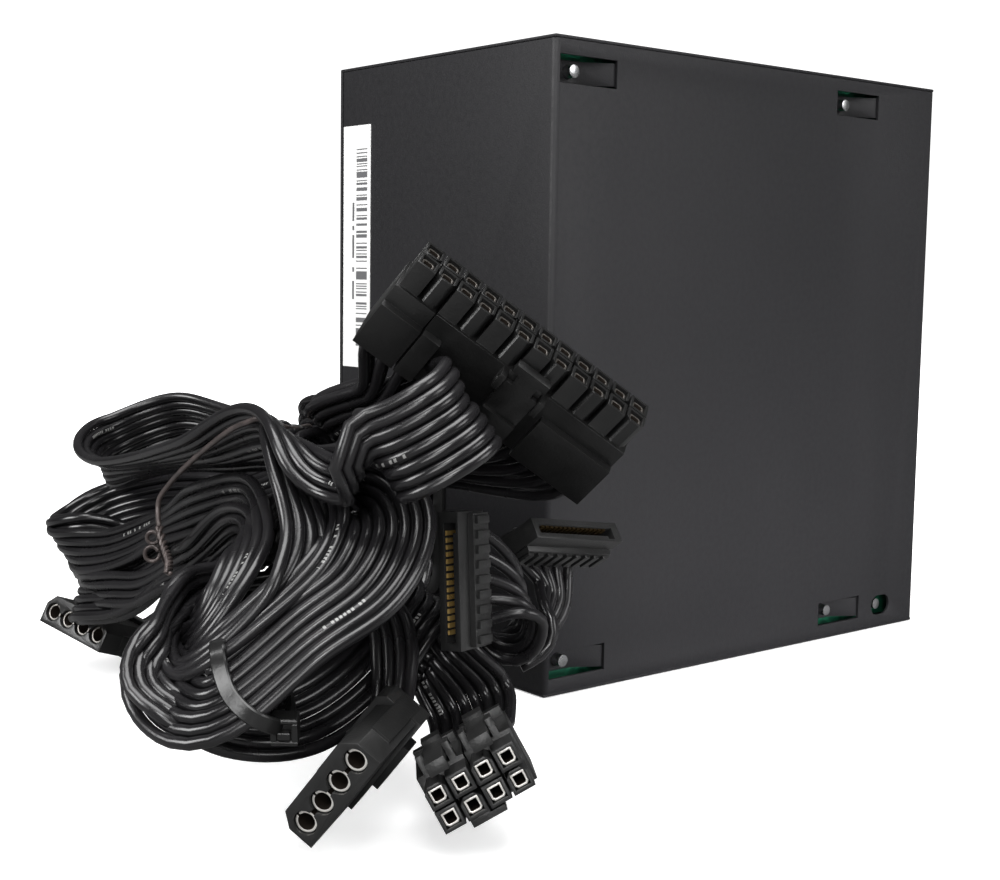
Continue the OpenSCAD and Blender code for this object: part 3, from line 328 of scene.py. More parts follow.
STRAP_NYLON = grained("strap_nylon", tones=(0.006, 0.0105), scale=90, rough=(0.28, 0.38),
                      bump=0.00003, bump_scale=1500)


def paint_recess_shade(material, dark):
    """Painted shade: the base colour falls to a dark tone on faces whose lit share, written by
    the marking step, is low; it stands in for the shade inside the plugs' holes and slots.
    """
    graph = Graph(material.node_tree)
    colour = material.node_tree.nodes["Principled BSDF"].inputs["Base Color"]
    lit_share = graph.add("Attribute", attribute_name="lit_share").outputs["Fac"]
    graph.put(colour, graph.mix(lit_share, dark, colour.links[0].from_socket))


# painted shade deep in the plug holes, on the tinned terminals and the gold contacts
paint_recess_shade(MATERIALS["tinned_metal"], dark=(0.05, 0.04, 0.033, 1))
paint_recess_shade(MATERIALS["gold_plate"], dark=(0.03, 0.02, 0.01, 1))

# ------------------------------------------------------------------ CAD parts
# bevel width in metres: the parts that take it
BEVELS = {
    0.00008: ("crimp_terminals", "four_pin_terminals", "cpu_terminals_b", "two_pin_terminals"),
    0.00012: ("cover_screws", "fan_screws", "board_screws"),
    0.00015: ("storage_connector_a", "storage_connector_b"),
    0.00018: ("main_connector", "four_pin_block", "cpu_connector_a", "cpu_connector_b",
              "graphics_connector", "two_pin_block"),
    0.0002: ("main_latch", "cpu_latch_a", "cpu_latch_b", "graphics_latch", "primary_heatsink",
             "secondary_heatsink", "power_devices"),
    0.00022: ("drive_connector_a", "drive_connector_b"),
    0.0003: ("exit_grommet", "switch_bezel", "wire_comb"),
    0.00035: ("case_base", "case_cover"),
    0.0004: ("ac_inlet", "rocker", "fan_frame", "electrolytic_capacitors",
             "standby_transformer"),
    0.0005: ("x_capacitors",),
    0.0006: ("main_transformer",),
}
BEVEL_OF = {name: width for width, names in BEVELS.items() for name in names}
MAIN_PLUG_PARTS = ("main_connector", "four_pin_block", "main_latch")
WELD_REACH = 0.000004


def split_edges(part, degrees):
    """Keeps edges sharper than the angle crisp under smooth shading."""
    split = part.modifiers.new("edges", "EDGE_SPLIT")
    split.split_angle = math.radians(degrees)


def dress_cad(name, part, slot):
    """Gives a CAD part its material, smooth faces and bevelled edges."""
    part.data.materials.clear()
    if name in MAIN_PLUG_PARTS:
        slot = "main_nylon"
    part.data.materials.append(MATERIALS.get(slot, MATERIALS["black_nylon"]))
    for face in part.data.polygons:
        face.use_smooth = True
    weld = part.modifiers.new("weld", "WELD")
    weld.merge_threshold = WELD_REACH
    if name in BEVEL_OF:
        bevel = part.modifiers.new("bevel", "BEVEL")
        bevel.width = BEVEL_OF[name]
        bevel.segments = 2
        bevel.limit_method = "ANGLE"
        bevel.angle_limit = math.radians(40)
        bevel.harden_normals = False
        bevel.use_clamp_overlap = True
    split_edges(part, degrees=38)


part_slots = {entry["node"]: entry["material_slot"] for entry in frame["record"]["subparts"]}
for part_name, cad_part in PARTS.items():
    dress_cad(part_name, cad_part, part_slots[part_name])


# ------------------------------------------------------------------ mesh helpers
def mesh_object(name, vertices, faces, materials, uvs=None, face_slots=None, smooth=True):
    mesh = bpy.data.meshes.new(name)
    mesh.from_pydata([tuple(vertex) for vertex in vertices], [], faces)
    for material in materials:
        mesh.materials.append(material)
    if uvs is not None:
        layer = mesh.uv_layers.new(name="along")
        layer.data.foreach_set("uv", np.asarray(uvs, np.float32).ravel())
    if face_slots is not None:
        mesh.polygons.foreach_set("material_index", face_slots)
    if smooth:
        mesh.polygons.foreach_set("use_smooth", [True] * len(mesh.polygons))
    mesh.update()
    made = bpy.data.objects.new(name, mesh)
    SCENE.collection.objects.link(made)
    return made


def unit(vectors):
    return vectors / np.maximum(np.linalg.norm(vectors, axis=-1, keepdims=True), 1e-9)


def run_length(path):
    """Distance along the path at each of its points."""
    return np.concatenate([[0], np.cumsum(np.linalg.norm(np.diff(path, axis=0), axis=1))])


def square_up(path, side):
    """Sideways and upward directions at each point, squared up to the path."""
    ahead = unit(np.gradient(path, axis=0))
    side = unit(side - (side * ahead).sum(1)[:, None] * ahead)
    return side, np.cross(ahead, side)


def rotation(*degrees):
    """Matrix that turns about x, then y, then z."""
    (cx, sx), (cy, sy), (cz, sz) = [
        (math.cos(math.radians(angle)), math.sin(math.radians(angle))) for angle in degrees]
    about_x = np.array([[1, 0, 0], [0, cx, -sx], [0, sx, cx]])
    about_y = np.array([[cy, 0, sy], [0, 1, 0], [-sy, 0, cy]])
    about_z = np.array([[cz, -sz, 0], [sz, cz, 0], [0, 0, 1]])
    return about_z @ about_y @ about_x


class Tubes:
    """Many round wires, in millimetres, gathered into one mesh."""

    def __init__(self, name, sides=12):
        self.name, self.sides = name, sides
        self.vertices, self.faces, self.uvs, self.face_slots = [], [], [], []
        self.count = 0

    def add(self, path, side, radius, slot=0, run_start=0.0, spin=0.0):
        """Adds one capped wire. spin turns its rings, run_start shifts its UVs along it."""
        path = np.asarray(path, float)
        side, up = square_up(path, np.asarray(side, float))
        sides, first = self.sides, self.count
        angles = np.linspace(0, 2 * math.pi, sides, endpoint=False) + spin
        rings = path[:, None, :] + radius * (
            np.cos(angles)[None, :, None] * side[:, None, :]
            + np.sin(angles)[None, :, None] * up[:, None, :])
        self.vertices.append(rings.reshape(-1, 3))
        self.count += len(path) * sides
        run = run_length(path) + run_start
        for i in range(len(path) - 1):
            near, far = first + i * sides, first + (i + 1) * sides
            for k in range(sides):
                after = (k + 1) % sides
                self.faces.append((near + k, near + after, far + after, far + k))
                self.uvs += [(run[i], k / sides), (run[i], (k + 1) / sides),
                             (run[i + 1], (k + 1) / sides), (run[i + 1], k / sides)]
                self.face_slots.append(slot)
        for i, order in ((0, -1), (len(path) - 1, 1)):
            ring = [first + i * sides + k for k in range(sides)]
            self.faces.append(tuple(ring[::order]))
            self.uvs += [(run[i], 0.0)] * sides
            self.face_slots.append(slot)

    def build(self, materials):
        vertices = np.concatenate(self.vertices) * MM
        return mesh_object(self.name, vertices, self.faces, materials, self.uvs, self.face_slots)


# ------------------------------------------------------------------ plugs and the painted shade on their contacts
# plug: place in mm, turn in degrees about x, y and z, brightness of its contacts, which is
# painted shade: 1 leaves them unshaded, lower levels paint them darker.
# In a plug's own frame +z points out of the mouth.
PLUGS = {key: (np.array(place, float), rotation(*turn), level) for key, place, turn, level in (
    ("atx", (-119.3, -95.6, 86.1), (-33.4, -35.8, 149.1), 0.12),
    ("eps", (-148.2, -117, 15.2), (84.7, -29, -33), 1.0),
    ("mxa", (-165, -99, 13), (101.5, -51.3, -65.7), 1.0),
    ("mxb", (-148.4, 36.9, 13.5), (70.1, 13.1, -72.7), 0.25),
    ("sta", (-133.2, -89, 42.3), (-49.1, -82.9, 70.6), 1.0),
    ("stb", (-97.5, -83.5, 47.5), (55, 8.3, 5.5), 0.04),
    ("pci", (-101.6, 4, 8), (90, 0, 144), 0.5),
)}
SHADE_DEPTH = -0.95    # mm; faces deeper in the plug than this get the full painted shade
LIT_FACING = 0.6     # how squarely a face has to look out of the mouth to escape the full painted shade


def contact_lit_share(face, plugs, mouth_only):
    """The painted light level of the nearest plug, or nothing, meaning full painted shade, for a
    face that doesn't look out of it.
    """
    centre = np.array(face.center) * 1000
    place, turn, level = min((PLUGS[key] for key in plugs),
                             key=lambda plug: np.linalg.norm(centre - plug[0]))
    if mouth_only:
        depth = (turn.T @ (centre - place))[2]
        if depth <= SHADE_DEPTH or np.array(face.normal) @ turn[:, 2] <= LIT_FACING:
            return 0.0
    return level


def mark_painted_shade(name, plugs, mouth_only=True):
    """Writes the face attribute of painted shade, unshaded all over where no plugs are given."""
    if PARTS.get(name) is None:
        return
    mesh = PARTS[name].data
    lit_share = mesh.attributes.new("lit_share", "FLOAT", "FACE")
    levels = [contact_lit_share(face, plugs, mouth_only) if plugs else 1.0 for face in mesh.polygons]
    lit_share.data.foreach_set("value", np.array(levels, np.float32))


# painted shade on the contacts: faces deep in a plug, and the whole contacts of plugs whose
# mouths lie in shade, are darkened
mark_painted_shade("crimp_terminals", ("atx", "eps", "mxa", "mxb", "pci"))
mark_painted_shade("four_pin_terminals", ("atx",))
mark_painted_shade("cpu_terminals_b", ("eps",))
mark_painted_shade("two_pin_terminals", ("pci",))
mark_painted_shade("storage_contacts", ("sta", "stb"), mouth_only=False)
mark_painted_shade("panel_terminals", ())

# ------------------------------------------------------------------ harness
# Measured stations of each flat cable, from inside the case to its plug: x, y, z in mm, the
# direction of the cable's width, and the spread of its wires (1 where left out).
ROUTES = {
    "eps": [
        (-34,-33,38, 0,0,-1), (-44,0,36, 0,0,-1), (-62,10.6,35, 0,0,-1),
        (-78,10.6,35, 0,0,-1), (-92,12,44, 0.1,0.1,-1), (-127.4,-31.3,61.8, -0.35,-0.61,-0.71),
        (-128.2,-47.2,64.5, -0.11,-0.5,-0.86), (-130.1,-66,68.2, -0.01,-0.5,-0.87),
        (-131.1,-84,73.1, 0.06,-0.63,-0.78), (-134.8,-96.3,74.8, 0.18,-0.6,-0.78),
        (-141.2,-100.5,72.5, 0.32,-0.38,-0.86), (-149.7,-95.6,67, 0.21,-0.3,-0.93),
        (-150.4,-84.8,65.2, 0.19,0.81,0.55), (-148.6,-68.1,65.1, 0.52,0.8,-0.1),
        (-147,-48.6,65.1, 0.55,0.5,-0.66), (-145.2,-24.9,59.4, 0.7,0.6,-0.4),
        (-143.3,-1,55.3, 0.75,0.62,-0.22), (-141.8,23.3,51.6, 0.75,0.6,-0.25),
        (-139.9,39.8,50.9, 0.65,0.55,-0.5), (-133.4,50.4,52.6, 0.5,0.42,-0.75),
        (-123.8,50.8,56.3, 0.45,0.38,-0.8), (-115.4,45.6,59.4, 0.45,0.4,-0.8),
        (-110.9,35.2,58, 0.45,0.4,-0.8), (-108.4,14.4,53.2, 0.35,0.41,-0.84),
        (-111.3,-12.4,40.1, 0.12,0.59,-0.8), (-116.7,-44.8,27.6, 0.08,0.83,-0.56),
        (-128.8,-77.9,26.8, -0.22,0.92,-0.34), (-121.9,-81.4,16.6, -0.73,0.48,-0.48),
        (-130.8,-92.7,12.8, -0.73,0.48,-0.48), (-136.3,-100.4,13.5, -0.73,0.48,-0.48),
    ],
    "atx": [
        (-22,-33,36, 0,0,-1), (-34,4,36, 0,0,-1), (-60,14.5,35, 0,0,-1),
        (-78,14.5,35, 0,0,-1), (-96,19,40, 0,0,-1), (-119.6,8.7,39.8, -0.46,-0.61,-0.64),
        (-124.7,23.1,38.7, -0.39,-0.56,-0.73), (-127.4,37.9,36, -0.27,-0.59,-0.77),
        (-133.6,47.7,32.2, -0.14,-0.58,-0.8), (-139.6,46.8,27.9, -0.08,-0.66,-0.75),
        (-144,39.8,26.1, -0.12,-0.79,-0.6), (-144.1,32,25.9, -0.25,-0.81,-0.54),
        (-142.6,24.4,26.7, -0.38,-0.78,-0.51), (-140.8,14.2,29.7, -0.48,-0.68,-0.55),
        (-137.5,3.4,36.7, -0.53,-0.71,-0.46), (-133.7,-10.6,43, -0.51,-0.74,-0.45),
        (-128.5,-29.5,49.8, -0.41,-0.78,-0.47), (-125.7,-47.7,57.4, -0.28,-0.87,-0.41),
        (-128.3,-54.9,63.5, 0.7,-0.42,-0.58, 1.1), (-125,-69.7,67.7, 0.7,-0.42,-0.58, 1.45),
        (-122.1,-80.8,72.2, 0.7,-0.42,-0.58, 1.88),
    ],
    "pcie": [
        (-42,-33,35, 0,0,-1), (-50,-4,35, 0,0,-1), (-64,7.8,35, 0,0,-1),
        (-78,7.6,35, 0,0,-1), (-93,0,33, 0.2,0.3,-0.8), (-121.6,-62.9,37, 0.22,0.88,0.42),
        (-136.8,-72.5,28.4, -0.07,0.84,0.53), (-151,-77.2,22.5, -0.01,0.61,0.79),
        (-162.4,-78.6,20.5, 0.37,0.65,0.66), (-173.3,-77,23.3, 0.4,0.62,0.67),
        (-178.7,-74.8,26.1, 0.47,0.8,0.3), (-178.1,-67.3,27.6, 0.5,0.86,-0.05),
        (-173.5,-57.7,30.1, 0.48,0.86,-0.2), (-167.1,-49.2,35.6, 0.5,0.83,-0.28),
        (-156,-42.5,37.6, 0.55,0.78,-0.31), (-143.9,-41.2,43.2, 0.65,0.61,-0.45),
        (-137.2,-50.3,54.1, 0.63,0.64,-0.45), (-137.5,-65.4,56.3, 0.37,0.82,-0.44),
        (-141.9,-80.2,55.3, -0.05,1,-0.02), (-146.1,-87.7,51.3, -0.4,0.87,0.29),
        (-153.3,-90.5,44, -0.26,0.9,0.34), (-163,-88.6,38.2, 0.14,0.87,0.48),
        (-173.3,-85.2,29.6, 0.1,0.87,0.48), (-178.7,-82.6,26.2, 0.3,0.7,0.65),
        (-179.3,-74.2,26.9, 0.44,0.8,0.3), (-175.2,-64.2,29, 0.5,0.86,0),
        (-169.6,-54,32.9, 0.5,0.85,-0.17), (-161.3,-46,36.5, 0.55,0.8,-0.28),
        (-148.4,-43.4,37.8, 0.65,0.59,-0.47), (-140,-38,31, 0.6,-0.1,-0.7),
        (-130,-31,17, 0.8,-0.5,-0.2), (-119,-20,8.4, 0.81,-0.59,0),
        (-113.4,-12.3,8, 0.81,-0.59,0),
    ],
    "sata": [
        (-50,-33,42, 0,0,-1), (-56,-8,42, 0,0,-1), (-66,4.6,42, 0,0,-1),
        (-80,5,42, 0,0,-1), (-96,14,46, 0,0,-1), (-115.3,5.2,47.4, -0.39,-0.53,-0.75),
        (-120.9,25.8,43.1, -0.04,-0.11,-0.99), (-124.3,46.4,40.3, 0.08,-0.2,-0.98),
        (-131,59.2,36.8, 0.16,-0.26,-0.95), (-139.9,58,31.8, 0.28,-0.35,-0.89),
        (-147.2,46.9,30.2, 0.37,-0.42,-0.83), (-148.2,35.3,30.6, 0.03,-0.69,-0.72),
        (-145.7,24.1,32.3, -0.21,-0.69,-0.69), (-143.3,13.4,36.2, -0.32,-0.57,-0.76),
        (-141,5.1,40.4, -0.44,-0.6,-0.67), (-141.2,-13,46.9, 0.32,0.17,-0.93),
        (-141.6,-29,50.8, 0.37,0.33,-0.87), (-145.8,-41.1,51.1, 0.21,0.63,-0.74),
        (-152.9,-53.8,49, 0.09,0.91,-0.41), (-159.5,-63.1,46.4, 0.08,1,0.01),
        (-165.5,-67.8,41.9, 0.11,0.99,0.1), (-169.9,-67.7,35.9, 0.4,0.88,0.26),
        (-171.1,-62.3,30, 0.45,0.85,0.1), (-165,-56,27.1, 0.5,0.8,-0.3),
        (-154.3,-50.2,28.6, 0.5,0.7,-0.45), (-137.1,-42.5,36.4, 0.51,0.42,-0.75),
        (-123,-51.1,29.5, 0.12,0.49,-0.86), (-115.3,-69.4,27.5, 0.1,0.81,-0.57),
        (-111.7,-84,27.7, 0.33,0.76,0.57), (-112.9,-87.3,34.3, -0.1,0.9,0.5),
        (-117.1,-88.4,39.1, 0.02,0.3,0.95, 1.4), (-124.8,-85.8,41.5, 0.04,0.11,0.99, 1.9),
    ],
    "molexb": [
        (-50,-33,28, 0,0,-1), (-56,-8,28, 0,0,-1), (-66,4.6,28, 0,0,-1),
        (-80,5,28, 0,0,-1), (-96,14,33, 0,0,-1), (-119.7,-0.7,39.2, -0.39,-0.53,-0.75),
        (-121.3,24.6,32.1, -0.04,-0.11,-0.99), (-123.4,44.2,29.6, 0.08,-0.2,-0.98),
        (-129.2,56.3,26.3, 0.16,-0.26,-0.95), (-136.8,54.1,22, 0.28,-0.35,-0.89),
        (-143.2,42.3,21.1, 0.37,-0.42,-0.83), (-147.9,27.6,22.7, 0.03,-0.69,-0.72),
        (-148,16.5,24.7, -0.21,-0.69,-0.69), (-146.5,6.7,26.1, -0.32,-0.57,-0.76),
        (-145.4,-2.7,30.5, -0.44,-0.6,-0.67), (-144.1,-15.8,37.4, 0.53,0.51,-0.68),
        (-145.6,-31.6,45.8, 0.5,0.42,-0.76), (-149.9,-46,47.7, 0.31,0.71,-0.63),
        (-156.5,-56.5,45.5, 0.22,0.93,-0.31), (-162.4,-61.3,41.8, 0.19,0.98,0),
        (-166.7,-59.9,35.8, 0.35,0.91,0.2), (-166.5,-54.3,30, 0.45,0.87,0.1),
        (-160.9,-49.1,25.9, 0.55,0.75,-0.35), (-150,-41.1,26.3, 0.6,0.6,-0.45),
        (-142.8,-10.2,28.6, 0.5,0.2,-0.8), (-135.7,14,20.3, 0.3,0.1,-0.9),
        (-118,28,11, 0.2,-0.1,-1), (-108,41,8, 0.1,0,-1), (-107,50,7, 0,0,-1),
        (-114,54,6, 0.1,-0.5,-0.8, 1.1), (-122,49,5, 0.29,-0.9,-0.35, 1.6),
        (-130,44.3,6.5, 0.29,-0.93,-0.23, 2.2),
    ],
    "molexa": [
        (-58,-33,36, 0,0,-1), (-61,-14,36, 0,0,-1), (-68,1.6,36, 0,0,-1),
        (-80,1,37, 0,0,-1), (-94,0,46, 0,0.22,-0.98), (-127.1,-39.8,58.2, 0.9,-0.19,-0.38),
        (-138.9,-46,66, 0.94,-0.12,-0.31), (-148.8,-57.3,66.6, 0.82,-0.31,-0.48),
        (-153.5,-67.3,61.1, 0.94,0.05,-0.32), (-154.3,-72.5,55.8, 0.95,0.3,0.12),
        (-155.7,-77.3,50.5, 0.95,0.02,0.3), (-160.4,-79.6,43.9, 0.98,0.09,0.19),
        (-168.2,-77.9,37.9, 0.86,0.45,0.22), (-173.5,-75.4,33.4, 0.6,0.78,0.15),
        (-175.4,-69.3,29.7, 0.5,0.86,0.05), (-173,-60.8,30, 0.5,0.85,-0.1),
        (-166.6,-52.5,33.3, 0.52,0.82,-0.24), (-156.3,-47.7,35.6, 0.6,0.74,-0.31),
        (-139.3,-46.1,34.7, 0.57,0.51,-0.64), (-138.9,-41.6,41.5, 0.58,0.45,-0.68),
        (-135.6,-49.4,51.8, 0.62,0.03,-0.79), (-141.4,-56.6,59.4, 0.99,0.08,-0.06),
        (-145.8,-67.6,56.8, 0.11,0.64,-0.76), (-149.7,-76.7,53, -0.05,0.9,-0.43),
        (-156.7,-80.8,47.1, -0.31,0.94,0.14), (-164.5,-80.5,41, -0.13,0.98,0.12),
        (-173,-78.3,34.5, 0.28,0.91,0.31), (-175.5,-73,30, 0.49,0.85,0.2),
        (-173.5,-62.8,30.5, 0.5,0.86,0), (-167.5,-53.2,32.5, 0.52,0.82,-0.28),
        (-157,-47.1,35.7, 0.6,0.68,-0.44), (-137.3,-47.6,35.7, 0.74,0.42,-0.53),
        (-135.7,-71.2,34.6, 0.9,-0.2,0.2), (-138.1,-79.1,29.5, 0.75,-0.5,0.3),
        (-141.4,-83.8,22.7, 0.5,-0.57,0.62, 1.3), (-144.5,-86.4,18, 0.3,-0.57,0.75, 1.8),
        (-147.6,-87.6,15.6, 0.26,-0.57,0.78, 2.2),
    ],
    # from the first storage plug to the second
    "sata_tail": [
        (-110.2,-79.2,24.2, 0.5,0.6,0.6), (-106.4,-80.7,26.3, 0.6,0.5,0.55),
        (-100.5,-78.5,30.7, 0.85,0.4,0.2), (-96.5,-75.9,35.2, 0.95,0.2,0, 1.4),
        (-98.8,-75.6,42, 0.98,0.09,-0.14, 1.9),
    ],
}
# all in mm
WIRE_PITCH = 2.2
WIRE_RADIUS = 1.11
LAYER_PITCH = 2.05
HOLE_PITCH = 4.2     # two-row and storage plugs
DRIVE_PITCH = 5.08
MAX_SPREAD = 1.06
BLEND_STEPS = 16     # stations before the fan where a moved wire leaves the main mesh


def sweep(rows, step=1.6, soft=7):
    """Smooth curve through the rows: points, width directions, spreads and run, evenly spaced."""
    rows = np.array([row if len(row) == 7 else (*row, 1) for row in rows], float)
    rows[:, 3:6] = unit(rows[:, 3:6])
    rows = np.vstack([2 * rows[0] - rows[1], rows, 2 * rows[-1] - rows[-2]])
    curve = []
    for i in range(1, len(rows) - 2):
        a, b, c, d = rows[i - 1:i + 3]
        count = max(2, int(math.ceil(np.linalg.norm((c - b)[:3]) / 0.5)))
        t = (np.arange(count) / count)[:, None]
        curve.append(0.5 * (2 * b + (c - a) * t + (2 * a - 5 * b + 4 * c - d) * t ** 2
                            + (3 * b - a - 3 * c + d) * t ** 3))
    curve = np.vstack(curve + [rows[-2][None]])
    run = run_length(curve[:, :3])
    # soften the stations a little, but not the two ends
    reach = int(soft / (run[-1] / len(run)))
    kernel = np.hanning(2 * reach + 3)[1:-1]
    kernel /= kernel.sum()
    padded = np.vstack([np.repeat(curve[:1], reach, 0), curve, np.repeat(curve[-1:], reach, 0)])
    softened = np.stack([np.convolve(padded[:, j], kernel, "valid") for j in range(7)], 1)
    weight = np.clip(np.minimum(run, run[-1] - run) / 8, 0, 1)[:, None]
    curve = curve * (1 - weight) + softened * weight
    even = np.linspace(0, run[-1], int(run[-1] / step) + 1)
    curve = np.stack([np.interp(even, run, curve[:, j]) for j in range(7)], 1)
    return curve[:, :3], unit(curve[:, 3:6]), curve[:, 6], even


def wander(run, seed, amount, length):
    """Slow seeded wander along a wire."""
    count = int(run[-1] / length) + 4
    knots = np.random.default_rng(seed).uniform(-1, 1, count + 1)
    place = run / length
    i = np.clip(place.astype(int), 0, count - 2)
    t = place - i
    t = t * t * (3 - 2 * t)
    return amount * (knots[i] * (1 - t) + knots[i + 1] * t)


def hermite(start, start_pull, end, end_pull, count):
    t = np.linspace(0, 1, count)[:, None]
    return ((2 * t**3 - 3 * t**2 + 1) * start + (t**3 - 2 * t**2 + t) * start_pull
            + (-2 * t**3 + 3 * t**2) * end + (t**3 - t**2) * end_pull)


# A hole chooser turns a wire's place across and above the cable, seen from the plug, into the
# hole's x and y and the node whose wires split off into a mesh of their own (None for the case).
def two_row(columns, layered, moved_columns, moved_node):
    """Layered cables feed a row from each layer; a flat one alternates between the rows."""
    def hole(across, above):
        if layered:
            column = int(round(columns / 2 + 0.5 - across / WIRE_PITCH))
            row = 1 if above > 0 else -1
        else:
            index = int(round((2 * columns - 1) / 2 - across / WIRE_PITCH))
            column = index // 2 + 1
            row = 1 if index % 2 == 0 else -1
        column = min(max(column, 1), columns)
        node = moved_node if column in moved_columns else None
        return (columns / 2 + 0.5 - column) * HOLE_PITCH, row * HOLE_PITCH / 2, node
    return hole


def one_row(pitch, y):
    def hole(across, above):
        return across / WIRE_PITCH * pitch, y, None
    return hole


def lay(route, name, wires, plug, hole, seed, fan, replaced=None, layers=1, rear=19.6, deep=7.5,
        printed={}, fuzz=0.32):
    """Lays the wires of one flat cable along its route and leads each one into its hole.

    fan: length over which the wires leave the flat cable; rear: how far behind the plug's
    origin they enter; deep: how far they run on; printed: spin of each printed wire, in
    radians, by wire number; fuzz: how far the wires wander; replaced: the node replaced.
    """
    path, width, spread, run = sweep(ROUTES[route])
    side, up = square_up(path, width)
    main = Tubes(name)
    moved = {}
    cut = len(path) - 1 - int(fan / (run[1] - run[0]))
    place, turn, _ = PLUGS[plug]
    mouth = turn[:, 2]
    side_sign = 1 if side[-1] @ turn[:, 0] > 0 else -1
    up_sign = 1 if up[-1] @ turn[:, 1] > 0 else -1
    calm = np.clip(np.minimum(run, run[-1] - run) / 14, 0, 1)
    for k in range(layers * wires):
        layer, i = divmod(k, wires)
        above = (layer - (layers - 1) / 2) * LAYER_PITCH
        across = (i - (wires - 1) / 2) * WIRE_PITCH
        first_seed = seed * 97 + k * 3
        sway = wander(run, first_seed + 1, 0.05, 34) * calm
        lift = (wander(run, first_seed + 2, fuzz, 42) * calm
                + wander(run, first_seed + 5, fuzz * 0.5, 17) * calm)
        wire = (path + side * (across * np.minimum(spread, MAX_SPREAD))[:, None]
                + side * sway[:, None] + up * (above + lift)[:, None])
        slot = 1 if k in printed else 0
        spin = printed[k] if k in printed else rng.uniform(0, 6.28)
        hole_x, hole_y, node = hole(across * side_sign, above * up_sign)
        target = place + turn @ np.array([hole_x, hole_y, -rear])
        gap = np.linalg.norm(target - wire[cut])
        lead = hermite(wire[cut], unit(wire[cut] - wire[cut - 1]) * gap * 0.9,
                       target - mouth * 0.6, mouth * gap * 0.8, 14)
        tail = np.vstack([lead, target + mouth * deep * 0.5, target + mouth * deep])
        if node is None:
            start, tubes, run_start = 0, main, rng.uniform(0, 50)
        else:
            start, run_start = cut - BLEND_STEPS, 0
            main.add(wire[:start + 1], width[:start + 1], WIRE_RADIUS, slot, 0, spin)
            tubes, ends = moved.setdefault(node, (Tubes(name + "_" + node), []))
            ends.append((wire[start], target))
        tubes.add(np.vstack([wire[start:cut], tail]),
                  np.vstack([width[start:cut], np.repeat(width[cut][None], len(tail), 0)]),
                  WIRE_RADIUS, slot, run_start, spin)
    materials = [MATERIALS["wire_pvc"], WIRE_PRINTED]
    cable = main.build(materials)
    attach(cable, "case")
    if replaced:
        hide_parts(replaced)
    for node, (tubes, ends) in moved.items():
        branch = tubes.build(materials)
        start, end = np.mean(ends, axis=0) * MM
        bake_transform(branch)


lay("atx", "wires_main", 12, "atx", two_row(12, True, (1, 2), "four_pin"), seed=1, fan=20,
    replaced="main_cable", layers=2, printed={3: 1.6, 9: 1.2, 16: 1.5})
lay("eps", "wires_cpu", 8, "eps", two_row(4, False, (3, 4), "cpu_b"), seed=2, fan=14,
    replaced="cpu_cable", printed={1: 1.4, 4: 4.6, 6: 1.8})
lay("pcie", "wires_graphics", 8, "pci", two_row(4, False, (1,), "two_pin"), seed=3, fan=12,
    replaced="graphics_cable", printed={2: 1.5, 5: 4.4})
lay("sata", "wires_storage", 5, "sta", one_row(HOLE_PITCH, y=0.0), seed=4, fan=12,
    replaced="storage_cable", rear=9, deep=2.0, printed={1: 1.7})
lay("sata_tail", "wires_storage_tail", 5, "stb", one_row(HOLE_PITCH, y=0.0), seed=5, fan=10,
    rear=9, deep=2.0, fuzz=0.2)
lay("molexa", "wires_drive_a", 4, "mxa", one_row(DRIVE_PITCH, y=-0.2), seed=6, fan=13,
    replaced="drive_cable_a", rear=21, deep=8, printed={0: 1.6, 2: 4.2})
lay("molexb", "wires_drive_b", 4, "mxb", one_row(DRIVE_PITCH, y=-0.2), seed=7, fan=13,
    replaced="drive_cable_b", rear=21, deep=8, printed={3: 1.2})

# ------------------------------------------------------------------ strap
# x, y, z in mm and the direction of the strap's width, once round the bundle
STRAP = [
    (-175.5,-81.4,35.1, 0.7,-0.6,0.4), (-176.1,-83.1,32.6, 0.69,-0.57,0.42),
    (-176.4,-85,30.3, 0.64,-0.53,0.55), (-176.6,-87.3,28.5, 0.58,-0.48,0.66),
    (-176.5,-90.1,27.2, 0.5,-0.4,0.77), (-175.6,-92.7,25.8, 0.4,-0.33,0.85),
    (-173.8,-93.5,24.7, 0.3,-0.25,0.92), (-171.1,-92.7,23.4, 0.24,-0.2,0.95),
    (-168.2,-90.5,22.2, 0.22,-0.18,0.95), (-162.9,-84.4,21.8, 0.2,-0.2,0.95),
    (-159,-75.7,23.8, 0.4,-0.3,0.8), (-158.8,-67.6,27.1, 0.7,-0.6,0.5),
    (-163.2,-66,30.7, 0.8,-0.6,0.3), (-169.7,-72,33.9, 0.75,-0.6,0.35),
]
# strap section in mm: across its width, outward
STRAP_SECTION = [(-1.35, -0.45), (-1.35, 0.2), (-1.1, 0.42), (1.1, 0.42), (1.35, 0.2),
                 (1.35, -0.45)]
RIB_DEPTH = 0.12
HEAD_PLACE = np.array([-168.6, -91.6, 22.5])
HEAD_TURN = rotation(12, 0, -39)
# x, y and z limits in the head's own frame and the chamfer, in mm
HEAD_BLOCKS = [
    (-2.2, 2.2, -1.9, 1.8, 1.5, 2.4, 0.25),     # four walls round the slot
    (-2.2, 2.2, -1.9, 1.8, -2.4, -1.5, 0.25),
    (-2.2, -1.3, -1.9, 1.8, -1.7, 1.7, 0.2),
    (1.3, 2.2, -1.9, 1.8, -1.7, 1.7, 0.2),
    (-1.4, 1.4, -0.9, 1.6, -1.6, 1.6, 0.1),     # the pawl
    (-1.0, 1.0, -2.3, -1.0, -1.1, 0.2, 0.15),   # the cut end of the strap
]


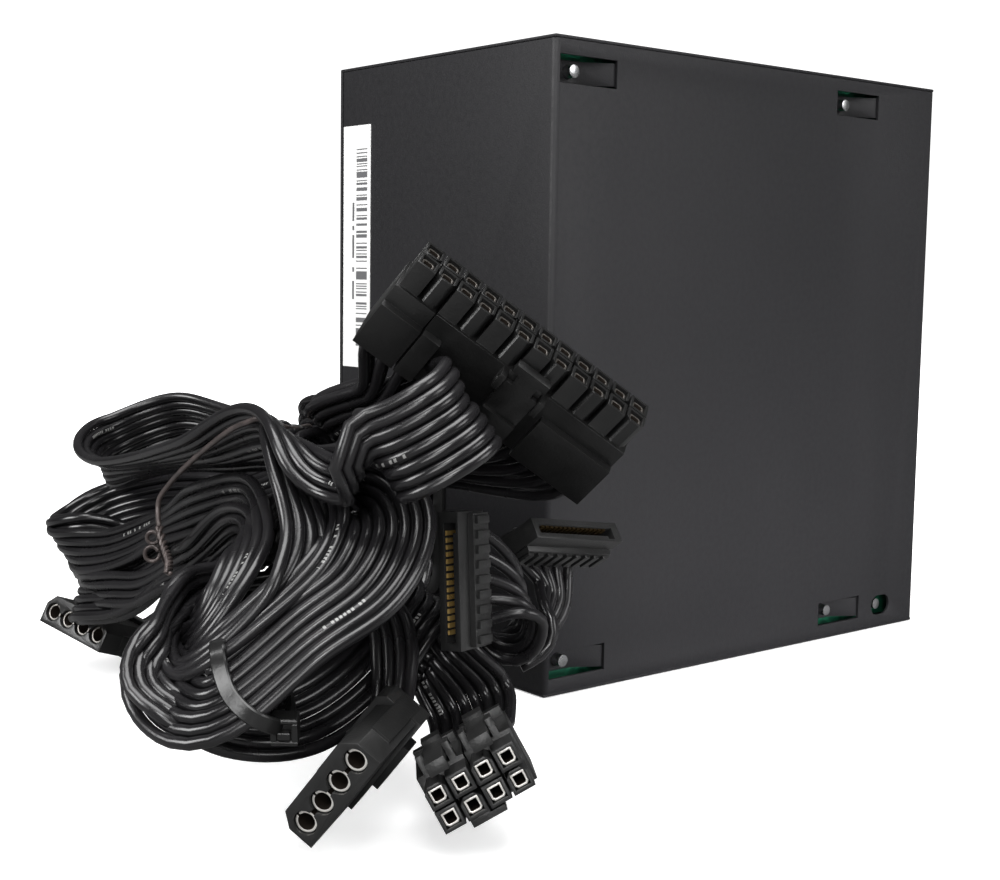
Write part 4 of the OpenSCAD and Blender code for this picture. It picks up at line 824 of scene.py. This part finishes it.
def add_block(vertices, faces, x0, x1, y0, y1, z0, z1, chamfer):
    """A box in the strap head's frame, chamfered at its two z ends."""
    first = len(vertices)
    for inset, z in ((chamfer, z0), (0, z0 + chamfer), (0, z1 - chamfer), (chamfer, z1)):
        xa, xb, ya, yb = x0 + inset, x1 - inset, y0 + inset, y1 - inset
        for x, y in ((xa, ya), (xb, ya), (xb, yb), (xa, yb)):
            vertices.append((HEAD_PLACE + HEAD_TURN @ np.array([x, y, z])) * MM)
    faces.append((first + 3, first + 2, first + 1, first))
    for level in range(3):
        for q in range(4):
            a = first + level * 4 + q
            b = first + level * 4 + (q + 1) % 4
            faces.append((a, b, b + 4, a + 4))
    faces.append((first + 12, first + 13, first + 14, first + 15))


def strap():
    """Ribbed strap closed on itself, a square head with its slot and pawl, and the cut tail."""
    path, width, _, _ = sweep([STRAP[-1]] + STRAP + STRAP[:2], step=0.28, soft=2)
    # keep one full turn
    apart = np.linalg.norm(path - np.array(STRAP[0][:3]), axis=1)
    half = len(path) // 2
    turn = slice(int(np.argmin(apart[:len(path) // 3])), half + int(np.argmin(apart[half:])))
    path, width = path[turn], width[turn]
    side, out = square_up(path, width)
    if np.mean(np.einsum("ij,ij->i", out, path - path.mean(0))) < 0:
        out = -out
    vertices, faces = [], []
    rings, corners = len(path), len(STRAP_SECTION)
    for i in range(rings):
        for across, height in STRAP_SECTION:
            # the inner side alternates in depth every two rings
            rib = RIB_DEPTH if height < 0 and (i // 2) % 2 else 0.0
            vertices.append((path[i] + side[i] * across + out[i] * (height - rib)) * MM)
    for i in range(rings):
        j = (i + 1) % rings
        for q in range(corners):
            after = (q + 1) % corners
            faces.append((i * corners + q, j * corners + q, j * corners + after,
                          i * corners + after))
    for block in HEAD_BLOCKS:
        add_block(vertices, faces, *block)
    made = mesh_object("strap", vertices, faces, [STRAP_NYLON])
    split_edges(made, degrees=32)
    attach(made, "case")
    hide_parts("zip_tie")


strap()

# ------------------------------------------------------------------ twist tie
# x, y, z in mm, once round the bundle and back to the start
TIE_LOOP = [
    (-150.6,-56.6,69.2), (-151.9,-54.6,69.6), (-152.6,-51.9,68.7), (-152.7,-46.9,67.2),
    (-152.5,-41.5,65), (-151.7,-34.8,62.3), (-150.6,-27,59.1), (-149.5,-19.3,55.7),
    (-148.7,-13.8,53), (-148.6,-10.3,50.7), (-148.8,-7.9,48.3), (-149.1,-8,45.7),
    (-150,-10.3,42.3), (-147.5,-6,37), (-141,0,30.5), (-132,4,31), (-124,4,38),
    (-119,-4,48), (-120,-18,58), (-129,-36,65), (-139,-48,66.5), (-146,-55,67.5),
    (-150.6,-56.6,69.2),
]
# x, y, z in mm along the axis of the twisted ends
TWIST_AXIS = [(-150,-10.3,43), (-150.9,-13.7,40.5), (-152.3,-17.9,39), (-154.7,-23.9,38.1),
              (-158.2,-30.3,37.2)]
TWIST_TURNS = 5
TWIST_RADIUS = 0.5
LOOP_WIRE, END_WIRE, EYE_WIRE = 0.58, 0.42, 0.45    # wire radii
EYES = (((-150.4, -8.2, 40.4), 1.25), ((-150.8, -8.6, 37.0), 1.55))    # centre, radius
EYE_RIGHT = np.array([0.773, -0.634, 0.0])
EYE_UP = np.array([0.0, 0.0, 1.0])
EYE_AXIS = np.array([0.63, 0.77, 0])


def smooth_path(points):
    return sweep([(*point, 0, 0, 1) for point in points], step=0.7, soft=2)[0]


def twist():
    tubes = Tubes("twist_wire", sides=10)
    tubes.add(smooth_path(TIE_LOOP), (0.0, 0.3, 1.0), LOOP_WIRE)
    # the ends wound round each other, and the two small eyes they leave
    axis = smooth_path(TWIST_AXIS)
    side, up = square_up(axis, np.array([1.0, 0.4, 0.0]))
    for phase in (0.0, math.pi):
        angles = (np.linspace(0, TWIST_TURNS * 2 * math.pi, len(axis)) + phase)[:, None]
        coil = axis + TWIST_RADIUS * (np.cos(angles) * side + np.sin(angles) * up)
        tubes.add(coil, side, END_WIRE)
    for centre, radius in EYES:
        angles = np.linspace(0.4, 6.3, 26)[:, None]
        ring = radius * (np.cos(angles) * EYE_RIGHT + 1.05 * np.sin(angles) * EYE_UP)
        eye = np.array(centre) + ring + np.linspace(-0.5, 0.5, 26)[:, None] * EYE_AXIS
        tubes.add(eye, EYE_AXIS, EYE_WIRE)
    made = tubes.build([TIE_WIRE])
    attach(made, "case")
    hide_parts("twist_tie")


twist()


# ------------------------------------------------------------------ floor
def glowing_floor_paint():
    """Pale paint with a painted glow that only the camera sees, weaker near the part and stronger
    away from it; in the part it mirrors as a darker tone.
    """
    paint = grained("glowing_floor_paint", tones=(0.93, 0.95), scale=3, rough=(0.5, 0.6), specular=0.2)
    graph = Graph(paint.node_tree)
    nodes = paint.node_tree.nodes
    dark = graph.add("BsdfDiffuse", {"Color": (0.16, 0.16, 0.16, 1)})
    position = graph.add("NewGeometry").outputs["Position"]
    distance = graph.add("VectorMath", {0: position, 1: (-0.08, -0.05, 0.0)},
                         operation="DISTANCE")
    # painted light: strength of the floor's glow to the camera, rising with distance from the
    # part
    fade = graph.add("MapRange", {
        "From Min": 0.16, "From Max": 0.62, "To Min": 0.46, "To Max": 1.25,
        "Value": distance.outputs["Value"],
    }, interpolation_type="SMOOTHSTEP")
    painted_glow = graph.add("Emission", {"Strength": fade.outputs["Result"]})
    lit = graph.add("AddShader", {0: nodes["Principled BSDF"].outputs[0], 1: painted_glow.outputs[0]})
    seen = graph.add("LightPath").outputs["Is Camera Ray"]
    both = graph.add("MixShader", {0: seen, 1: dark.outputs[0], 2: lit.outputs[0]})
    graph.put(nodes["Material Output"].inputs["Surface"], both.outputs[0])
    return paint


def floor():
    size, cells, z = 6.0, 40, -0.0002
    ticks = [-size / 2 + size * i / cells for i in range(cells + 1)]
    row = cells + 1
    vertices = [(x, y, z) for x in ticks for y in ticks]
    corners = [i * row + j for i in range(cells) for j in range(cells)]
    faces = [(a, a + row, a + row + 1, a + 1) for a in corners]
    mesh_object("floor", vertices, faces, [glowing_floor_paint()], smooth=False)


floor()

# ------------------------------------------------------------------ lights
# name, place, target, (size, or length and width) in metres, power in watts
LIGHTS = [
    ("overhead", (-0.15, -0.1, 1.1), (-0.08, -0.04, 0.05), (0.9,), 17),
    ("left_soft", (-1.15, 0.15, 0.6), (-0.1, 0.0, 0.06), (0.55,), 11),
    ("right_soft", (0.55, -1.15, 0.55), (0.0, 0.0, 0.07), (0.6,), 5),
    ("front_soft", (-0.7, -0.8, 0.85), (-0.12, -0.05, 0.05), (0.3,), 5),
    ("low_front", (-0.62, -0.75, 0.22), (-0.15, -0.08, 0.03), (0.35,), 2.2),
    # light that the pale floor throws back onto the foot of the -y side
    ("floor_bounce", (0.01, -0.19, 0.006), (0.005, -0.043, 0.04), (0.15, 0.05), 0.5),
]


def area_light(name, place, target, size, power):
    light = bpy.data.lights.new(name, "AREA")
    light.energy = power
    light.size = size[0]
    if len(size) > 1:
        light.shape = "RECTANGLE"
        light.size_y = size[1]
    lamp = bpy.data.objects.new(name, light)
    SCENE.collection.objects.link(lamp)
    lamp.location = place
    lamp.rotation_mode = "QUATERNION"
    lamp.rotation_quaternion = (Vector(target) - Vector(place)).to_track_quat("-Z", "Y")
    return lamp


lamps = [area_light(*row) for row in LIGHTS]
lamps[-1].visible_camera = False
lamps[-1].visible_glossy = False


def studio_world():
    """Near-white surround, brighter to the camera and dimmer in reflections."""
    base_strength, camera_extra, glossy_extra = 0.35, 0.95, -0.27
    world = bpy.data.worlds.new("studio")
    SCENE.world = world
    world.use_nodes = True
    graph = Graph(world.node_tree)
    background = world.node_tree.nodes["Background"]
    height = graph.axes(graph.add("TexCoord").outputs["Generated"])[2]
    tone = graph.ramp(height, (0.0, 0.9), (0.25, 1.0), (1.0, (0.95, 0.95, 0.96)))
    graph.put(background.inputs["Color"], tone)
    ray = graph.add("LightPath").outputs
    seen = graph.calc("MULTIPLY", ray["Is Camera Ray"], camera_extra)
    gloss = graph.calc("MULTIPLY", ray["Is Glossy Ray"], glossy_extra)
    strength = graph.calc("ADD", graph.calc("ADD", seen, base_strength), gloss)
    graph.put(background.inputs["Strength"], strength)


studio_world()

# ------------------------------------------------------------------ camera
CAMERA_PLACE = (-0.29633, -0.30162, 0.0963)
CAMERA_ANGLES = (-39.348, 6.075, 0.867)    # degrees: about z, downward tilt, roll


def camera():
    lens = bpy.data.cameras.new("camera")
    made = bpy.data.objects.new("camera", lens)
    SCENE.collection.objects.link(made)
    SCENE.camera = made
    lens.sensor_fit = "HORIZONTAL"
    lens.sensor_width = 36.0
    lens.lens = 54.99936
    heading, tilt, roll = (math.radians(angle) for angle in CAMERA_ANGLES)
    back = Vector((math.sin(heading) * math.cos(tilt), -math.cos(heading) * math.cos(tilt),
                   math.sin(tilt)))
    level = Vector((math.cos(heading), math.sin(heading), 0))
    upright = back.cross(level)
    right = level * math.cos(roll) + upright * math.sin(roll)
    up = -level * math.sin(roll) + upright * math.cos(roll)
    rows = [(right[i], up[i], back[i], CAMERA_PLACE[i]) for i in range(3)]
    made.matrix_world = Matrix((*rows, (0, 0, 0, 1)))
    lens.clip_start = 0.01
    lens.clip_end = 50
    lens.dof.use_dof = False


camera()
SCENE.view_settings.view_transform = "Standard"
